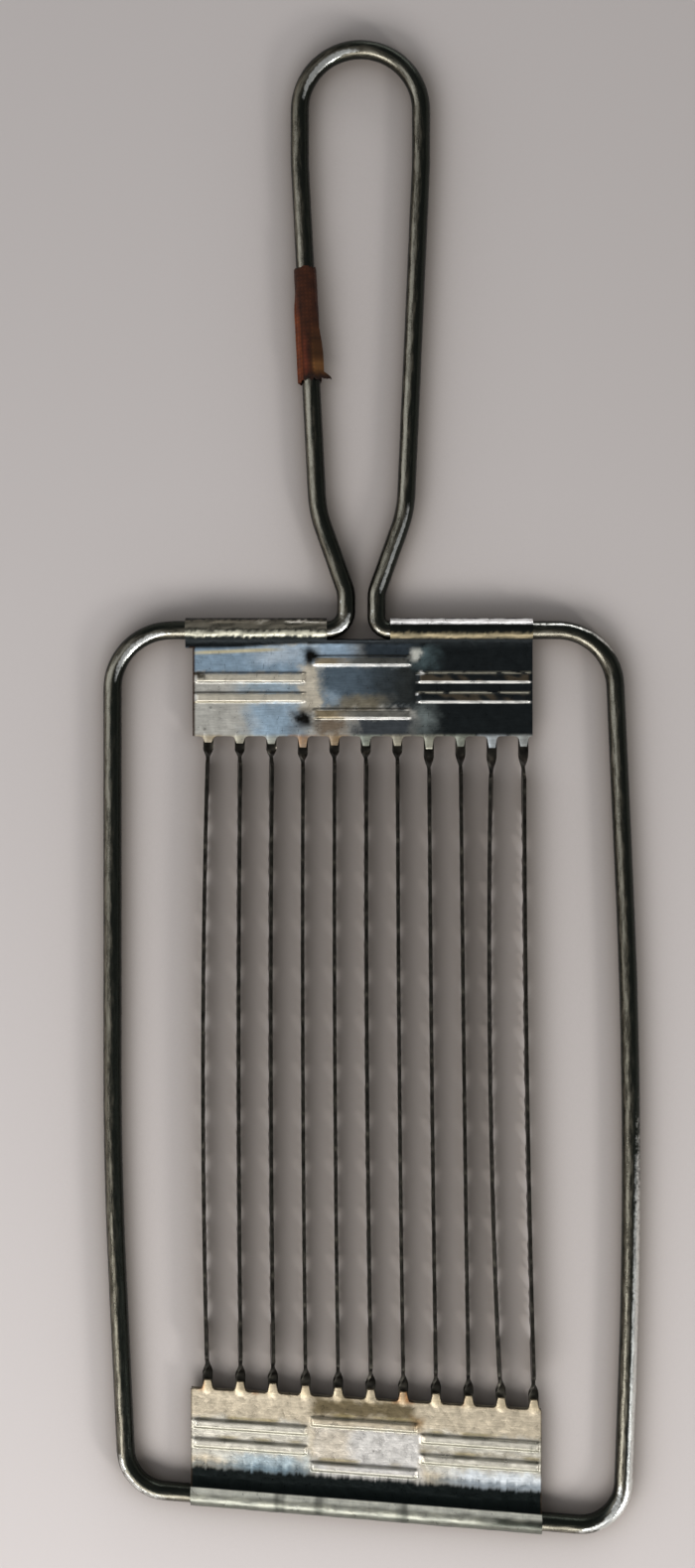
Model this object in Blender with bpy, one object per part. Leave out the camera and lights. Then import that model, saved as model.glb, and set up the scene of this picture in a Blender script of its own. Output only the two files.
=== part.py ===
"""Hand slicer for tomatoes and boiled vegetables.

One plated steel wire is bent into a handle loop, a neck and a frame. Two folded sheet
headers are curled round the upper and the lower bar of that frame, and eleven upright
serrated blades are clamped between them. A strip of old cloth tape is wound on the handle.

The pieces are drawn in the plane of the wire: x to the right, y towards the handle, z up,
with zero where the handle's centre line crosses the upper bar. The finished part lies with
the centre of its bounding box's underside on the origin.
"""

import math

import bmesh
import bpy
import numpy as np
from mathutils import Vector

MM = 0.001

# Wire: handle loop and neck
WIRE_DIAMETER = 3.7 * MM
LOOP_RADIUS = 12.24 * MM
LOOP_CENTRE_HEIGHT = 105.0 * MM
LEG_PARALLEL_LENGTH = 10.8 * MM
LEG_BEND_RADIUS = 60.0 * MM
NECK_TOP_HEIGHT = 24.0 * MM
NECK_TOP_LEFT = 8.63 * MM
NECK_TOP_RIGHT = 9.13 * MM
NECK_TOP_BEND_RADIUS = 24.0 * MM
NECK_WAIST_HEIGHT = 7.6 * MM
NECK_WAIST_LEFT = 2.85 * MM
NECK_WAIST_RIGHT = 3.25 * MM
NECK_WAIST_BEND_RADIUS = 6.0 * MM
NECK_FOOT_RADIUS_LEFT = 3.8 * MM
NECK_FOOT_RADIUS_RIGHT = 2.6 * MM

# Wire: outer frame
SHOULDER_MARGIN = 2.2 * MM
SHOULDER_SAG = 0.68 * MM
SHOULDER_BEND_RADIUS = 20.0 * MM
LEFT_RAIL_OFFSET = 50.07 * MM
LEFT_RAIL_BEND_DROP = 108.4 * MM
LEFT_RAIL_BEND_RADIUS = 846.0 * MM
RIGHT_RAIL_OFFSET = 51.01 * MM
RIGHT_RAIL_BOW = 4.68 * MM
RIGHT_RAIL_BOW_DROP = 104.1 * MM
RIGHT_RAIL_BOW_RADIUS = 1208.0 * MM
TOP_CORNER_RADIUS = 11.8 * MM
BOTTOM_CORNER_RADIUS = 8.6 * MM
LOWER_LEFT_CORNER = 47.04 * MM
LOWER_LEFT_DROP = 173.16 * MM
LOWER_RIGHT_CORNER = 52.76 * MM
LOWER_RIGHT_DROP = 181.29 * MM
WIRE_END_GAP = 0.4 * MM
SAME_POINT_DISTANCE = 0.01 * MM

# Headers: the folded sheet
SHEET_THICKNESS = 0.5 * MM
CURL_CLEARANCE = 0.1 * MM
VALLEY_RADIUS = 3.5 * MM
RIB_WIDTH = 2.1 * MM
RIB_HEIGHT = 0.55 * MM
RIB_GROOVE_DEPTH = 0.25 * MM
RIB_END_LENGTH = 0.9 * MM
RIB_SINK = 0.2 * MM
RIB_EDGE_MARGIN = 0.3 * MM
TONGUE_ROOT_WIDTH = 1.8 * MM
TONGUE_TIP_WIDTH = 1.3 * MM
TONGUE_LENGTH = 2.1 * MM
NOTCH_CORNER_RADIUS = 0.9 * MM
CUT_OVERRUN = 1.0 * MM

# Upper header
UPPER_LEFT_MARGIN = 4.6 * MM
UPPER_RIGHT_MARGIN = 1.8 * MM
UPPER_LEAF_SETBACK = 1.5 * MM
UPPER_SETBACK_REACH = 3.6 * MM
UPPER_NOTCH_REACH = 21.4 * MM
UPPER_TONGUE_SHARES = (0.62, 0.71, 0.76, 1.1, 0.9, 0.95, 0.95, 1.26, 1.02, 1.14, 1.02)
UPPER_BLADE_PITCH = 6.36 * MM
UPPER_BLADE_SHIFT = 1.1 * MM
UPPER_SIDE_RIBS = (9.7 * MM, 13.7 * MM)
UPPER_MIDDLE_RIBS = (6.3 * MM, 17.0 * MM)
UPPER_RIB_SHIFT = 0.3 * MM
UPPER_SIDE_RIB_START = 11.2 * MM
UPPER_MIDDLE_RIB_HALF = 10.0 * MM
NECK_CLEARANCE = 0.15 * MM

# Lower header
LOWER_LEFT_MARGIN = 3.35 * MM
LOWER_RIGHT_MARGIN = 1.55 * MM
LOWER_HEADER_SHIFT = 1.15 * MM
LOWER_NOTCH_REACH = 21.9 * MM
LOWER_REACH_GROWTH = 1.24 * MM
LOWER_BLADE_PITCH = 6.58 * MM
LOWER_BLADE_SHIFT = 0.92 * MM
LOWER_SIDE_RIBS = (10.9 * MM, 14.9 * MM)
LOWER_MIDDLE_RIBS = (7.8 * MM, 16.9 * MM)
LOWER_RIB_SHIFT = 0.65 * MM
LOWER_SIDE_RIB_START = 11.3 * MM
LOWER_MIDDLE_RIB_HALF = 10.9 * MM

# Blades
BLADE_COUNT = 11
BLADE_THICKNESS = 0.7 * MM
BLADE_EDGE_THICKNESS = 0.3 * MM
BLADE_HEIGHT = 4.6 * MM
TANG_WIDTH = 2.0 * MM
TANG_CLEARANCE = 0.05 * MM
TANG_STANDOFF = 8.1 * MM
UPPER_TWIST_LENGTH = 2.2 * MM
LOWER_TWIST_LENGTH = 3.6 * MM
SHOULDER_LENGTH = 1.2 * MM
PLAIN_END_LENGTH = 2.4 * MM
TOOTH_PITCH = 2.66 * MM
TOOTH_DEPTH = 0.8 * MM
GULLET_WIDTH = 4.4 * MM
GULLET_DEPTH = 1.3 * MM
BLADE_LEANS_DEGREES = (1.0, 8.0, 8.0, 3.0, 2.0, 4.0, 1.0, 0.5, -1.0, -8.5, 2.0)
BLADE_BOW_SHARES = (0.15, 0.07, 0.07, 0.05, 0.05, 0.06, 0.04, 0.03, 0.02, 0.18, 0.08)
UPPER_TWIST_SHARES = (1.45, 1.45, 1.45, 1.45, 1.3, 1.3, 1.3, 2.0, 2.0, 2.35, 2.45)

# Tape on the left leg of the handle
TAPE_TOP_HEIGHT = 72.7 * MM
TAPE_LENGTH = 22.4 * MM
TAPE_THICKNESS = 0.35 * MM
TAPE_CLEARANCE = 0.1 * MM
TAPE_FLAP_LENGTH = 12.0 * MM
TAPE_FLAP_WIDTH = 2.6 * MM
TAPE_FLAP_THICKNESS = 0.5 * MM

# Facets
ARC_STEP_DEGREES = 11.0
WIRE_BEVEL_RESOLUTION = 4
CURL_FACETS = 24
VALLEY_STEPS = 4
TWIST_STEPS = 4
TAPE_SIDES = 20
RIB_STEPS = 6
NOTCH_CORNER_STEPS = 3
PERIODS_PER_SEGMENT = 2

WIRE_RADIUS = WIRE_DIAMETER / 2
CURL_INNER_RADIUS = WIRE_RADIUS + CURL_CLEARANCE
CURL_OUTER_RADIUS = CURL_INNER_RADIUS + SHEET_THICKNESS
SLOT_HALF_HEIGHT = BLADE_THICKNESS / 2 + TANG_CLEARANCE
LEAF_FACE = SLOT_HALF_HEIGHT + SHEET_THICKNESS
UPPER_TIPS = [UPPER_NOTCH_REACH + share * TONGUE_LENGTH for share in UPPER_TONGUE_SHARES]
LOWER_TIPS = [LOWER_NOTCH_REACH + TONGUE_LENGTH] * BLADE_COUNT
LOWER_ROOT = LOWER_TWIST_LENGTH + SHOULDER_LENGTH


def clear_scene():
    for obj in list(bpy.data.objects):
        bpy.data.objects.remove(obj, do_unlink=True)


def make_material(name, colour, roughness, metallic):
    material = bpy.data.materials.new(name)
    material.use_nodes = True
    shader = material.node_tree.nodes["Principled BSDF"]
    shader.inputs["Base Color"].default_value = (*colour, 1.0)
    shader.inputs["Roughness"].default_value = roughness
    shader.inputs["Metallic"].default_value = metallic
    material.diffuse_color = (*colour, 1.0)
    return material


def add_object(name, data, parent, material=None):
    obj = bpy.data.objects.new(name, data)
    bpy.context.scene.collection.objects.link(obj)
    obj.parent = parent
    if material:
        data.materials.append(material)
    return obj


def mesh_from_bmesh(name, mesh_parts, smooth_degrees=None):
    """Closes the bmesh into mesh data with its normals facing out."""
    bmesh.ops.recalc_face_normals(mesh_parts, faces=mesh_parts.faces)
    data = bpy.data.meshes.new(name)
    mesh_parts.to_mesh(data)
    mesh_parts.free()
    if smooth_degrees is not None:
        data.shade_smooth()
        data.set_sharp_from_angle(angle=math.radians(smooth_degrees))
    return data


def add_prism(mesh_parts, outline, low, high, place):
    """Adds the prism of a closed outline between two depths; place(point, depth) gives its corners."""
    ends = [[mesh_parts.verts.new(place(point, depth)) for point in outline] for depth in (low, high)]
    mesh_parts.faces.new(ends[0])
    mesh_parts.faces.new(ends[1])
    for i in range(len(outline)):
        j = (i + 1) % len(outline)
        mesh_parts.faces.new((ends[0][i], ends[0][j], ends[1][j], ends[1][i]))


def hide_cutter(cutter):
    cutter.hide_render = True
    cutter.display_type = "WIRE"


def add_boolean(obj, other, operation):
    modifier = obj.modifiers.new(other.name, "BOOLEAN")
    modifier.operation = operation
    modifier.solver = "EXACT"
    modifier.object = other
    hide_cutter(other)


def rounded_corner(before, corner, after, radius):
    """Points of the arc that is tangent to both sides of a corner of the bent wire."""
    to_before = (before - corner).normalized()
    to_after = (after - corner).normalized()
    half_angle = to_before.angle(to_after) / 2
    turn = math.pi - 2 * half_angle
    centre = corner + (to_before + to_after).normalized() * (radius / math.sin(half_angle))
    start = corner + to_before * (radius / math.tan(half_angle)) - centre
    side = 1 if to_before.cross(to_after) < 0 else -1
    steps = max(2, round(math.degrees(turn) / ARC_STEP_DEGREES))
    return [centre + turned(start, side * turn * k / steps) for k in range(steps + 1)]


def turned(vector, angle):
    """A plane vector turned anticlockwise by an angle."""
    cos, sin = math.cos(angle), math.sin(angle)
    return Vector((vector.x * cos - vector.y * sin, vector.x * sin + vector.y * cos))


def lower_bar():
    """The middle of the lower bar under the header, and the bar's rise per unit of x."""
    left = Vector((-LOWER_LEFT_CORNER, -LOWER_LEFT_DROP))
    right = Vector((LOWER_RIGHT_CORNER, -LOWER_RIGHT_DROP))
    slope = (right.y - left.y) / (right.x - left.x)
    middle = Vector((LOWER_HEADER_SHIFT, left.y + slope * (LOWER_HEADER_SHIFT - left.x)))
    return middle, slope


def tongue_places(pitch, shift):
    """Where the tongues, and the blades on them, lie along a bar."""
    return [shift + pitch * (i - (BLADE_COUNT - 1) / 2) for i in range(BLADE_COUNT)]


def header_ends(tongues, left_margin, right_margin):
    return tongues[0] - left_margin, tongues[-1] + right_margin


UPPER_TONGUES = tongue_places(UPPER_BLADE_PITCH, UPPER_BLADE_SHIFT)
LOWER_TONGUES = tongue_places(LOWER_BLADE_PITCH, LOWER_BLADE_SHIFT)
UPPER_ENDS = header_ends(UPPER_TONGUES, UPPER_LEFT_MARGIN, UPPER_RIGHT_MARGIN)
LOWER_ENDS = header_ends(LOWER_TONGUES, LOWER_LEFT_MARGIN, LOWER_RIGHT_MARGIN)


def wire_path():
    """The wire's centre line: from the middle of the lower bar round the frame, neck and loop."""
    loop_top = LOOP_CENTRE_HEIGHT + LOOP_RADIUS
    leg_top = LOOP_CENTRE_HEIGHT - LEG_PARALLEL_LENGTH
    bends = [
        (-LOWER_LEFT_CORNER, -LOWER_LEFT_DROP, BOTTOM_CORNER_RADIUS),
        (-LEFT_RAIL_OFFSET, -LEFT_RAIL_BEND_DROP, LEFT_RAIL_BEND_RADIUS),
        (-LEFT_RAIL_OFFSET, -SHOULDER_SAG, TOP_CORNER_RADIUS),
        (UPPER_ENDS[0] - SHOULDER_MARGIN, 0, SHOULDER_BEND_RADIUS),
        (-NECK_WAIST_LEFT, 0, NECK_FOOT_RADIUS_LEFT),
        (-NECK_WAIST_LEFT, NECK_WAIST_HEIGHT, NECK_WAIST_BEND_RADIUS),
        (-NECK_TOP_LEFT, NECK_TOP_HEIGHT, NECK_TOP_BEND_RADIUS),
        (-LOOP_RADIUS, leg_top, LEG_BEND_RADIUS),
        (-LOOP_RADIUS, loop_top, LOOP_RADIUS),
        (LOOP_RADIUS, loop_top, LOOP_RADIUS),
        (LOOP_RADIUS, leg_top, LEG_BEND_RADIUS),
        (NECK_TOP_RIGHT, NECK_TOP_HEIGHT, NECK_TOP_BEND_RADIUS),
        (NECK_WAIST_RIGHT, NECK_WAIST_HEIGHT, NECK_WAIST_BEND_RADIUS),
        (NECK_WAIST_RIGHT, 0, NECK_FOOT_RADIUS_RIGHT),
        (RIGHT_RAIL_OFFSET, 0, TOP_CORNER_RADIUS),
        (RIGHT_RAIL_OFFSET + RIGHT_RAIL_BOW, -RIGHT_RAIL_BOW_DROP, RIGHT_RAIL_BOW_RADIUS),
        (LOWER_RIGHT_CORNER, -LOWER_RIGHT_DROP, BOTTOM_CORNER_RADIUS),
    ]
    middle, slope = lower_bar()
    along = Vector((1, slope)).normalized()
    ends = [middle - along * (WIRE_END_GAP / 2), middle + along * (WIRE_END_GAP / 2)]
    corners = [ends[0]] + [Vector((x, y)) for x, y, _ in bends] + [ends[1]]
    path = [ends[0]]
    for i, (_, _, radius) in enumerate(bends, start=1):
        arc = rounded_corner(corners[i - 1], corners[i], corners[i + 1], radius)
        path += arc[1:] if (arc[0] - path[-1]).length < SAME_POINT_DISTANCE else arc
    return path + [ends[1]]


def make_wire(parent, material):
    path = wire_path()
    curve = bpy.data.curves.new("frame_wire", "CURVE")
    curve.dimensions = "3D"
    curve.bevel_depth = WIRE_RADIUS
    curve.bevel_resolution = WIRE_BEVEL_RESOLUTION
    curve.use_fill_caps = True
    spline = curve.splines.new("POLY")
    spline.points.add(len(path) - 1)
    for point, place in zip(spline.points, path):
        point.co = (place.x, place.y, 0, 1)
    return add_object("frame_wire", curve, parent, material)


def sheet_outline(reach):
    """Section of the folded sheet as (distance from the bar, height).

    Each leaf runs in from the tongue tips, rises through a valley arc and closes in the
    curl round the wire. The curl's facets touch its true circle, one of them lying level
    under the bar.
    """
    middle_radius = CURL_INNER_RADIUS + SHEET_THICKNESS / 2
    leaf_middle = SLOT_HALF_HEIGHT + SHEET_THICKNESS / 2
    valley_height = leaf_middle + VALLEY_RADIUS
    valley_out = math.sqrt((middle_radius + VALLEY_RADIUS) ** 2 - valley_height**2)
    leave = math.atan2(valley_height, valley_out)
    step = math.tau / CURL_FACETS
    sides = []
    for offset in (SHEET_THICKNESS / 2, -SHEET_THICKNESS / 2):
        upper = [(reach, leaf_middle + offset)]
        for k in range(VALLEY_STEPS + 1):
            angle = -math.pi / 2 + (leave - math.pi / 2) * k / VALLEY_STEPS
            radius = VALLEY_RADIUS - offset
            upper.append((valley_out + radius * math.cos(angle), valley_height + radius * math.sin(angle)))
        angles = [step * (k + 1 / 2) for k in range(CURL_FACETS)]
        angles = [a for a in angles if leave + step / 4 < a < math.tau - leave - step / 4]
        radius = (middle_radius + offset) / math.cos(step / 2)
        curl = [(radius * math.cos(a), radius * math.sin(a)) for a in angles]
        lower = [(distance, -height) for distance, height in reversed(upper)]
        sides.append(upper + curl + lower)
    return sides[0] + sides[1][::-1]


def notch_outline(left_tongue, right_tongue, notch_reach, left_tip, right_tip, out):
    """The space between two tongues: narrow at its rounded root, open past the tongue tips."""
    root, tip = TONGUE_ROOT_WIDTH / 2, TONGUE_TIP_WIDTH / 2
    radius = NOTCH_CORNER_RADIUS
    left = [(left_tongue + tip, out), (left_tongue + tip, left_tip)]
    right = [(right_tongue - tip, right_tip), (right_tongue - tip, out)]
    for k in range(NOTCH_CORNER_STEPS + 1):
        angle = math.pi / 2 * k / NOTCH_CORNER_STEPS
        rise = notch_reach + radius * (1 - math.sin(angle))
        inset = radius * (1 - math.cos(angle))
        left.append((left_tongue + root + inset, rise))
        right.insert(0, (right_tongue - root - inset, rise))
    return left + right


def rib_mesh(name, spans, face_side, height, place):
    """Closed loaves for the crimped ribs: a cosine hump across, sloping to nothing at both ends.

    face_side is 1 on the front leaf and -1 on the back leaf, and the hump points towards +z.
    """
    parts = bmesh.new()
    base = face_side * LEAF_FACE
    for start, end, reach in spans:
        stations = ((start, 0), (start + RIB_END_LENGTH, 1), (end - RIB_END_LENGTH, 1), (end, 0))
        rows = []
        for along, share in stations:
            top = []
            for k in range(RIB_STEPS + 1):
                across = k / RIB_STEPS - 1 / 2
                hump = height * share * (1 + math.cos(math.tau * across)) / 2
                top.append((reach + RIB_WIDTH * across, base + hump))
            foot = [(top[-1][0], base - RIB_SINK), (top[0][0], base - RIB_SINK)]
            rows.append([parts.verts.new(place(point, along)) for point in top + foot])
        for row, following in zip(rows, rows[1:]):
            for k in range(len(row)):
                j = (k + 1) % len(row)
                parts.faces.new((row[k], row[j], following[j], following[k]))
        parts.faces.new(rows[0])
        parts.faces.new(rows[-1])
    return mesh_from_bmesh(name, parts)


def header_place(up, slope=0, fan=0):
    """Maps (distance from the bar, height) and a place along the bar to the header's own frame.

    up is the side of the bar that the leaves lie on. The bar climbs by slope, and distances
    grow by the share fan for each unit of length along it, so the comb edge tilts less.
    """
    return lambda point, along: Vector((along, up * point[0] * (1 + fan * along) + slope * along, point[1]))


def make_header(name, parent, material, place, ends, notch_reach, tongues, tips, rib_spans, extra_cuts):
    """A folded header: the curled sheet, its crimped ribs, its comb edge and any other cuts.

    ends are the curl's ends along the bar, tips the reach of each tongue, and each extra cut
    is (from, to, near, far): two places along the bar and two distances from it.
    """
    longest = max(tips)
    out = longest + CUT_OVERRUN
    body = bmesh.new()
    add_prism(body, sheet_outline(longest), ends[0], ends[1], place)
    header = add_object(name, mesh_from_bmesh(name, body, smooth_degrees=40), parent, material)

    def add_cutter(cutter_name, outlines):
        """One object with a prism through the whole header for each outline."""
        deep = CURL_OUTER_RADIUS + CUT_OVERRUN
        cuts = bmesh.new()
        for outline in outlines:
            add_prism(cuts, outline, -deep, deep, lambda point, depth: place((point[1], depth), point[0]))
        return add_object(cutter_name, mesh_from_bmesh(cutter_name, cuts), header)

    ribs = add_object(name + "_ribs", rib_mesh(name + "_ribs", rib_spans, 1, RIB_HEIGHT, place), header)
    grooves_mesh = rib_mesh(name + "_grooves", rib_spans, -1, RIB_GROOVE_DEPTH, place)
    grooves = add_object(name + "_grooves", grooves_mesh, header)
    add_boolean(header, ribs, "UNION")
    add_boolean(header, grooves, "DIFFERENCE")

    pitch = tongues[1] - tongues[0]
    edges = [ends[0] - pitch] + tongues + [ends[1] + pitch]
    edge_tips = [tips[0]] + tips + [tips[-1]]
    notches = [notch_outline(edges[k], edges[k + 1], notch_reach, edge_tips[k], edge_tips[k + 1], out)
               for k in range(len(edges) - 1)]
    add_boolean(header, add_cutter(name + "_notches", notches), "DIFFERENCE")
    short_tips = [(tongue - TONGUE_ROOT_WIDTH / 2, tongue + TONGUE_ROOT_WIDTH / 2, tip, out)
                  for tongue, tip in zip(tongues, tips) if tip < longest]
    for label, cuts in (("_tips", short_tips), ("_cuts", extra_cuts)):
        outlines = [[(low, near), (high, near), (high, far), (low, far)] for low, high, near, far in cuts]
        if outlines:
            add_boolean(header, add_cutter(name + label, outlines), "DIFFERENCE")
    return header


def rib_places(ends, shift, side_start, middle_half, side_reaches, middle_reaches):
    """Where each rib starts and ends along the bar, and its distance from the bar."""
    spans = [(ends[0] + RIB_EDGE_MARGIN, shift - side_start, reach) for reach in side_reaches]
    spans += [(shift - middle_half, shift + middle_half, reach) for reach in middle_reaches]
    spans += [(shift + side_start, ends[1] - RIB_EDGE_MARGIN, reach) for reach in side_reaches]
    return spans


def make_upper_header(parent, material):
    """The upper header: its curl is open where the neck leaves, and its leaf starts late on the left."""
    leaf_start = UPPER_ENDS[0] + UPPER_LEAF_SETBACK
    cuts = [
        (-NECK_WAIST_LEFT - NECK_FOOT_RADIUS_LEFT - NECK_CLEARANCE,
         NECK_WAIST_RIGHT + NECK_FOOT_RADIUS_RIGHT + NECK_CLEARANCE,
         -CURL_OUTER_RADIUS - CUT_OVERRUN, WIRE_RADIUS + NECK_CLEARANCE),
        (UPPER_ENDS[0] - CUT_OVERRUN, leaf_start, UPPER_SETBACK_REACH, max(UPPER_TIPS) + CUT_OVERRUN),
    ]
    spans = rib_places((leaf_start, UPPER_ENDS[1]), UPPER_RIB_SHIFT, UPPER_SIDE_RIB_START,
                       UPPER_MIDDLE_RIB_HALF, UPPER_SIDE_RIBS, UPPER_MIDDLE_RIBS)
    return make_header("upper_header", parent, material, header_place(-1), UPPER_ENDS, UPPER_NOTCH_REACH,
                       UPPER_TONGUES, UPPER_TIPS, spans, cuts)


def lower_place():
    """The lower header's map: it follows the sloping bar, and its comb edge slopes less."""
    fan = LOWER_REACH_GROWTH / (LOWER_ENDS[1] - LOWER_ENDS[0]) / LOWER_NOTCH_REACH
    return header_place(1, lower_bar()[1], fan)


def make_lower_header(parent, material):
    spans = rib_places(LOWER_ENDS, LOWER_RIB_SHIFT, LOWER_SIDE_RIB_START, LOWER_MIDDLE_RIB_HALF,
                       LOWER_SIDE_RIBS, LOWER_MIDDLE_RIBS)
    header = make_header("lower_header", parent, material, lower_place(), LOWER_ENDS, LOWER_NOTCH_REACH,
                         LOWER_TONGUES, LOWER_TIPS, spans, [])
    header.location = lower_bar()[0].to_3d()
    return header


def tooth_line(length, upper_root):
    """The serrated edge as (distance along the blade, depth), and where each period starts.

    Three teeth a period: two small gullets, then a wide deep one. Plain ends take up the rest.
    upper_root is where the upright part has its full width.
    """
    gullets = ((TOOTH_PITCH, TOOTH_DEPTH), (TOOTH_PITCH, TOOTH_DEPTH), (GULLET_WIDTH, GULLET_DEPTH))
    period = sum(width for width, _ in gullets)
    first, last = upper_root + PLAIN_END_LENGTH, length - LOWER_ROOT - PLAIN_END_LENGTH
    count = int((last - first) / period)
    along = first + (last - first - count * period) / 2
    line, starts = [(along, 0)], [along]
    for _ in range(count):
        for width, depth in gullets:
            line += [(along + width / 4, depth), (along + width * 3 / 4, depth), (along + width, 0)]
            along += width
        starts.append(along)
    return line, starts


def make_blade(name, parent, material, top, bottom, lean, bow, upper_twist, upper_tang_length,
               lower_tang_length):
    """One blade: flat tang, quarter twist, upright serrated part, quarter twist, flat tang.

    The blade runs along its own -y from the upper tongue tips to the lower ones. Its
    section is a strip that stands on its serrated edge and leans by the given angle.
    """
    run = bottom - top
    length = run.length
    upper_root = upper_twist + SHOULDER_LENGTH
    line, starts = tooth_line(length, upper_root)
    stations = [upper_root] + starts[PERIODS_PER_SEGMENT:-PERIODS_PER_SEGMENT:PERIODS_PER_SEGMENT]
    stations.append(length - LOWER_ROOT)
    spine = [4 * bow * a / length * (1 - a / length) for a in stations]
    line = [(upper_root, 0)] + line + [(length - LOWER_ROOT, 0)]
    parts = bmesh.new()

    def corner(along, sideways, reach, across, angle):
        """A point at a reach along the strip's width and across its thickness, turned by an angle."""
        cos, sin = math.cos(angle), math.sin(angle)
        return Vector((sideways + reach * cos - across * sin, -along, reach * sin + across * cos))

    def ring(along, sideways, width, edge, angle):
        """Four corners of a whole section: the back's two, then the edge's two."""
        half, back = width / 2, BLADE_THICKNESS / 2
        corners = ((half, back), (half, -back), (-half, -edge / 2), (-half, edge / 2))
        return [parts.verts.new(corner(along, sideways, r, a, angle)) for r, a in corners]

    def skin(first, second):
        for k in range(4):
            j = (k + 1) % 4
            parts.faces.new((first[k], first[j], second[j], second[k]))

    upright = math.pi / 2 + lean
    low_half = BLADE_HEIGHT / 2

    def tang(side, tang_length, twist_length, sideways):
        """Sections from the flat tang's end to the end of its quarter twist."""
        at = (lambda a: a) if side > 0 else (lambda a: length - a)
        rings = [ring(at(-tang_length), 0, TANG_WIDTH, BLADE_THICKNESS, 0)]
        for k in range(TWIST_STEPS + 1):
            share = k / TWIST_STEPS
            turn = upright * share * share * (3 - 2 * share)
            rings.append(ring(at(twist_length * share), sideways * share, TANG_WIDTH, BLADE_THICKNESS, turn))
        return rings

    backs = [[parts.verts.new(corner(a, s, low_half, side * BLADE_THICKNESS / 2, upright))
              for side in (1, -1)] for a, s in zip(stations, spine)]
    edges = []
    for a, depth in line:
        thick = BLADE_EDGE_THICKNESS + (BLADE_THICKNESS - BLADE_EDGE_THICKNESS) * depth / BLADE_HEIGHT
        sideways = float(np.interp(a, stations, spine))
        edges.append([parts.verts.new(corner(a, sideways, depth - low_half, side * thick / 2, upright))
                      for side in (1, -1)])
    for first, second in zip(edges, edges[1:]):
        parts.faces.new((first[0], first[1], second[1], second[0]))
    places = [a for a, _ in line]
    marks = [min(range(len(places)), key=lambda i: abs(places[i] - a)) for a in stations]
    for j in range(len(stations) - 1):
        parts.faces.new((backs[j][0], backs[j][1], backs[j + 1][1], backs[j + 1][0]))
        for side in (0, 1):
            below = [edges[i][side] for i in range(marks[j], marks[j + 1] + 1)]
            parts.faces.new([backs[j][side]] + below + [backs[j + 1][side]])
    upper_tang = tang(1, upper_tang_length, upper_twist, spine[0])
    lower_tang = tang(-1, lower_tang_length, LOWER_TWIST_LENGTH, spine[-1])
    for rings, back, edge in ((upper_tang, backs[0], edges[0]), (lower_tang, backs[-1], edges[-1])):
        rings.append([back[0], back[1], edge[1], edge[0]])
        for first, second in zip(rings, rings[1:]):
            skin(first, second)
        parts.faces.new(rings[0])

    blade = add_object(name, mesh_from_bmesh(name, parts), parent, material)
    blade.location = (top.x, top.y, 0)
    blade.rotation_euler = (0, 0, math.atan2(run.x, -run.y))
    return blade


def blade_ends():
    """Where each blade leaves the upper and the lower tongue tips."""
    tops = [Vector((x, -tip)) for x, tip in zip(UPPER_TONGUES, UPPER_TIPS)]
    middle, place = lower_bar()[0], lower_place()
    bottoms = [middle + place((tip, 0), x).to_2d() for x, tip in zip(LOWER_TONGUES, LOWER_TIPS)]
    return list(zip(tops, bottoms))


def make_tape(parent, material):
    """A sleeve of wound tape on the left leg, with its loose lower corner standing off to the right."""
    leg_top = Vector((-LOOP_RADIUS, LOOP_CENTRE_HEIGHT - LEG_PARALLEL_LENGTH))
    leg_foot = Vector((-NECK_TOP_LEFT, NECK_TOP_HEIGHT))
    leg = leg_foot - leg_top
    start = leg_top + leg * ((leg_top.y - TAPE_TOP_HEIGHT) / -leg.y)
    inner = (WIRE_RADIUS + TAPE_CLEARANCE) / math.cos(math.pi / TAPE_SIDES)
    outer = inner + TAPE_THICKNESS
    sleeve = bmesh.new()
    rings = []
    for radius, depth in ((inner, 0), (outer, 0), (outer, TAPE_LENGTH), (inner, TAPE_LENGTH)):
        angles = [math.tau * k / TAPE_SIDES for k in range(TAPE_SIDES)]
        ring = [(radius * math.cos(a), -depth, radius * math.sin(a)) for a in angles]
        rings.append([sleeve.verts.new(point) for point in ring])
    for first, second in zip(rings, rings[1:] + rings[:1]):
        for k in range(TAPE_SIDES):
            j = (k + 1) % TAPE_SIDES
            sleeve.faces.new((first[k], first[j], second[j], second[k]))
    sleeve_mesh = mesh_from_bmesh("handle_tape", sleeve, smooth_degrees=40)
    tape = add_object("handle_tape", sleeve_mesh, parent, material)
    flap = bmesh.new()
    seat = (inner + outer) / 2
    outline = (
        (seat, TAPE_LENGTH - TAPE_FLAP_LENGTH),
        (outer + TAPE_FLAP_WIDTH / 2, TAPE_LENGTH - TAPE_THICKNESS),
        (outer + TAPE_FLAP_WIDTH, TAPE_LENGTH),
        (seat, TAPE_LENGTH),
    )
    half = TAPE_FLAP_THICKNESS / 2
    add_prism(flap, outline, -half, half, lambda point, depth: Vector((point[0], -point[1], depth)))
    add_boolean(tape, add_object("tape_flap", mesh_from_bmesh("tape_flap", flap), tape), "UNION")
    tape.location = (start.x, start.y, 0)
    tape.rotation_euler = (0, 0, math.atan2(leg.x, -leg.y))
    return tape


def set_on_origin(root, pieces):
    """Moves the empty so that the centre of the underside of the bounding box is at the origin."""
    bpy.context.view_layer.update()
    graph = bpy.context.evaluated_depsgraph_get()
    corners = []
    for piece in pieces:
        evaluated = piece.evaluated_get(graph)
        mesh = evaluated.to_mesh()
        corners += [evaluated.matrix_world @ vertex.co for vertex in mesh.vertices]
        evaluated.to_mesh_clear()
    places = np.array(corners)
    low, high = places.min(axis=0), places.max(axis=0)
    root.location = (-(low[0] + high[0]) / 2, -(low[1] + high[1]) / 2, -low[2])


clear_scene()
slicer = add_object("slicer", None, None)

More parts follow.
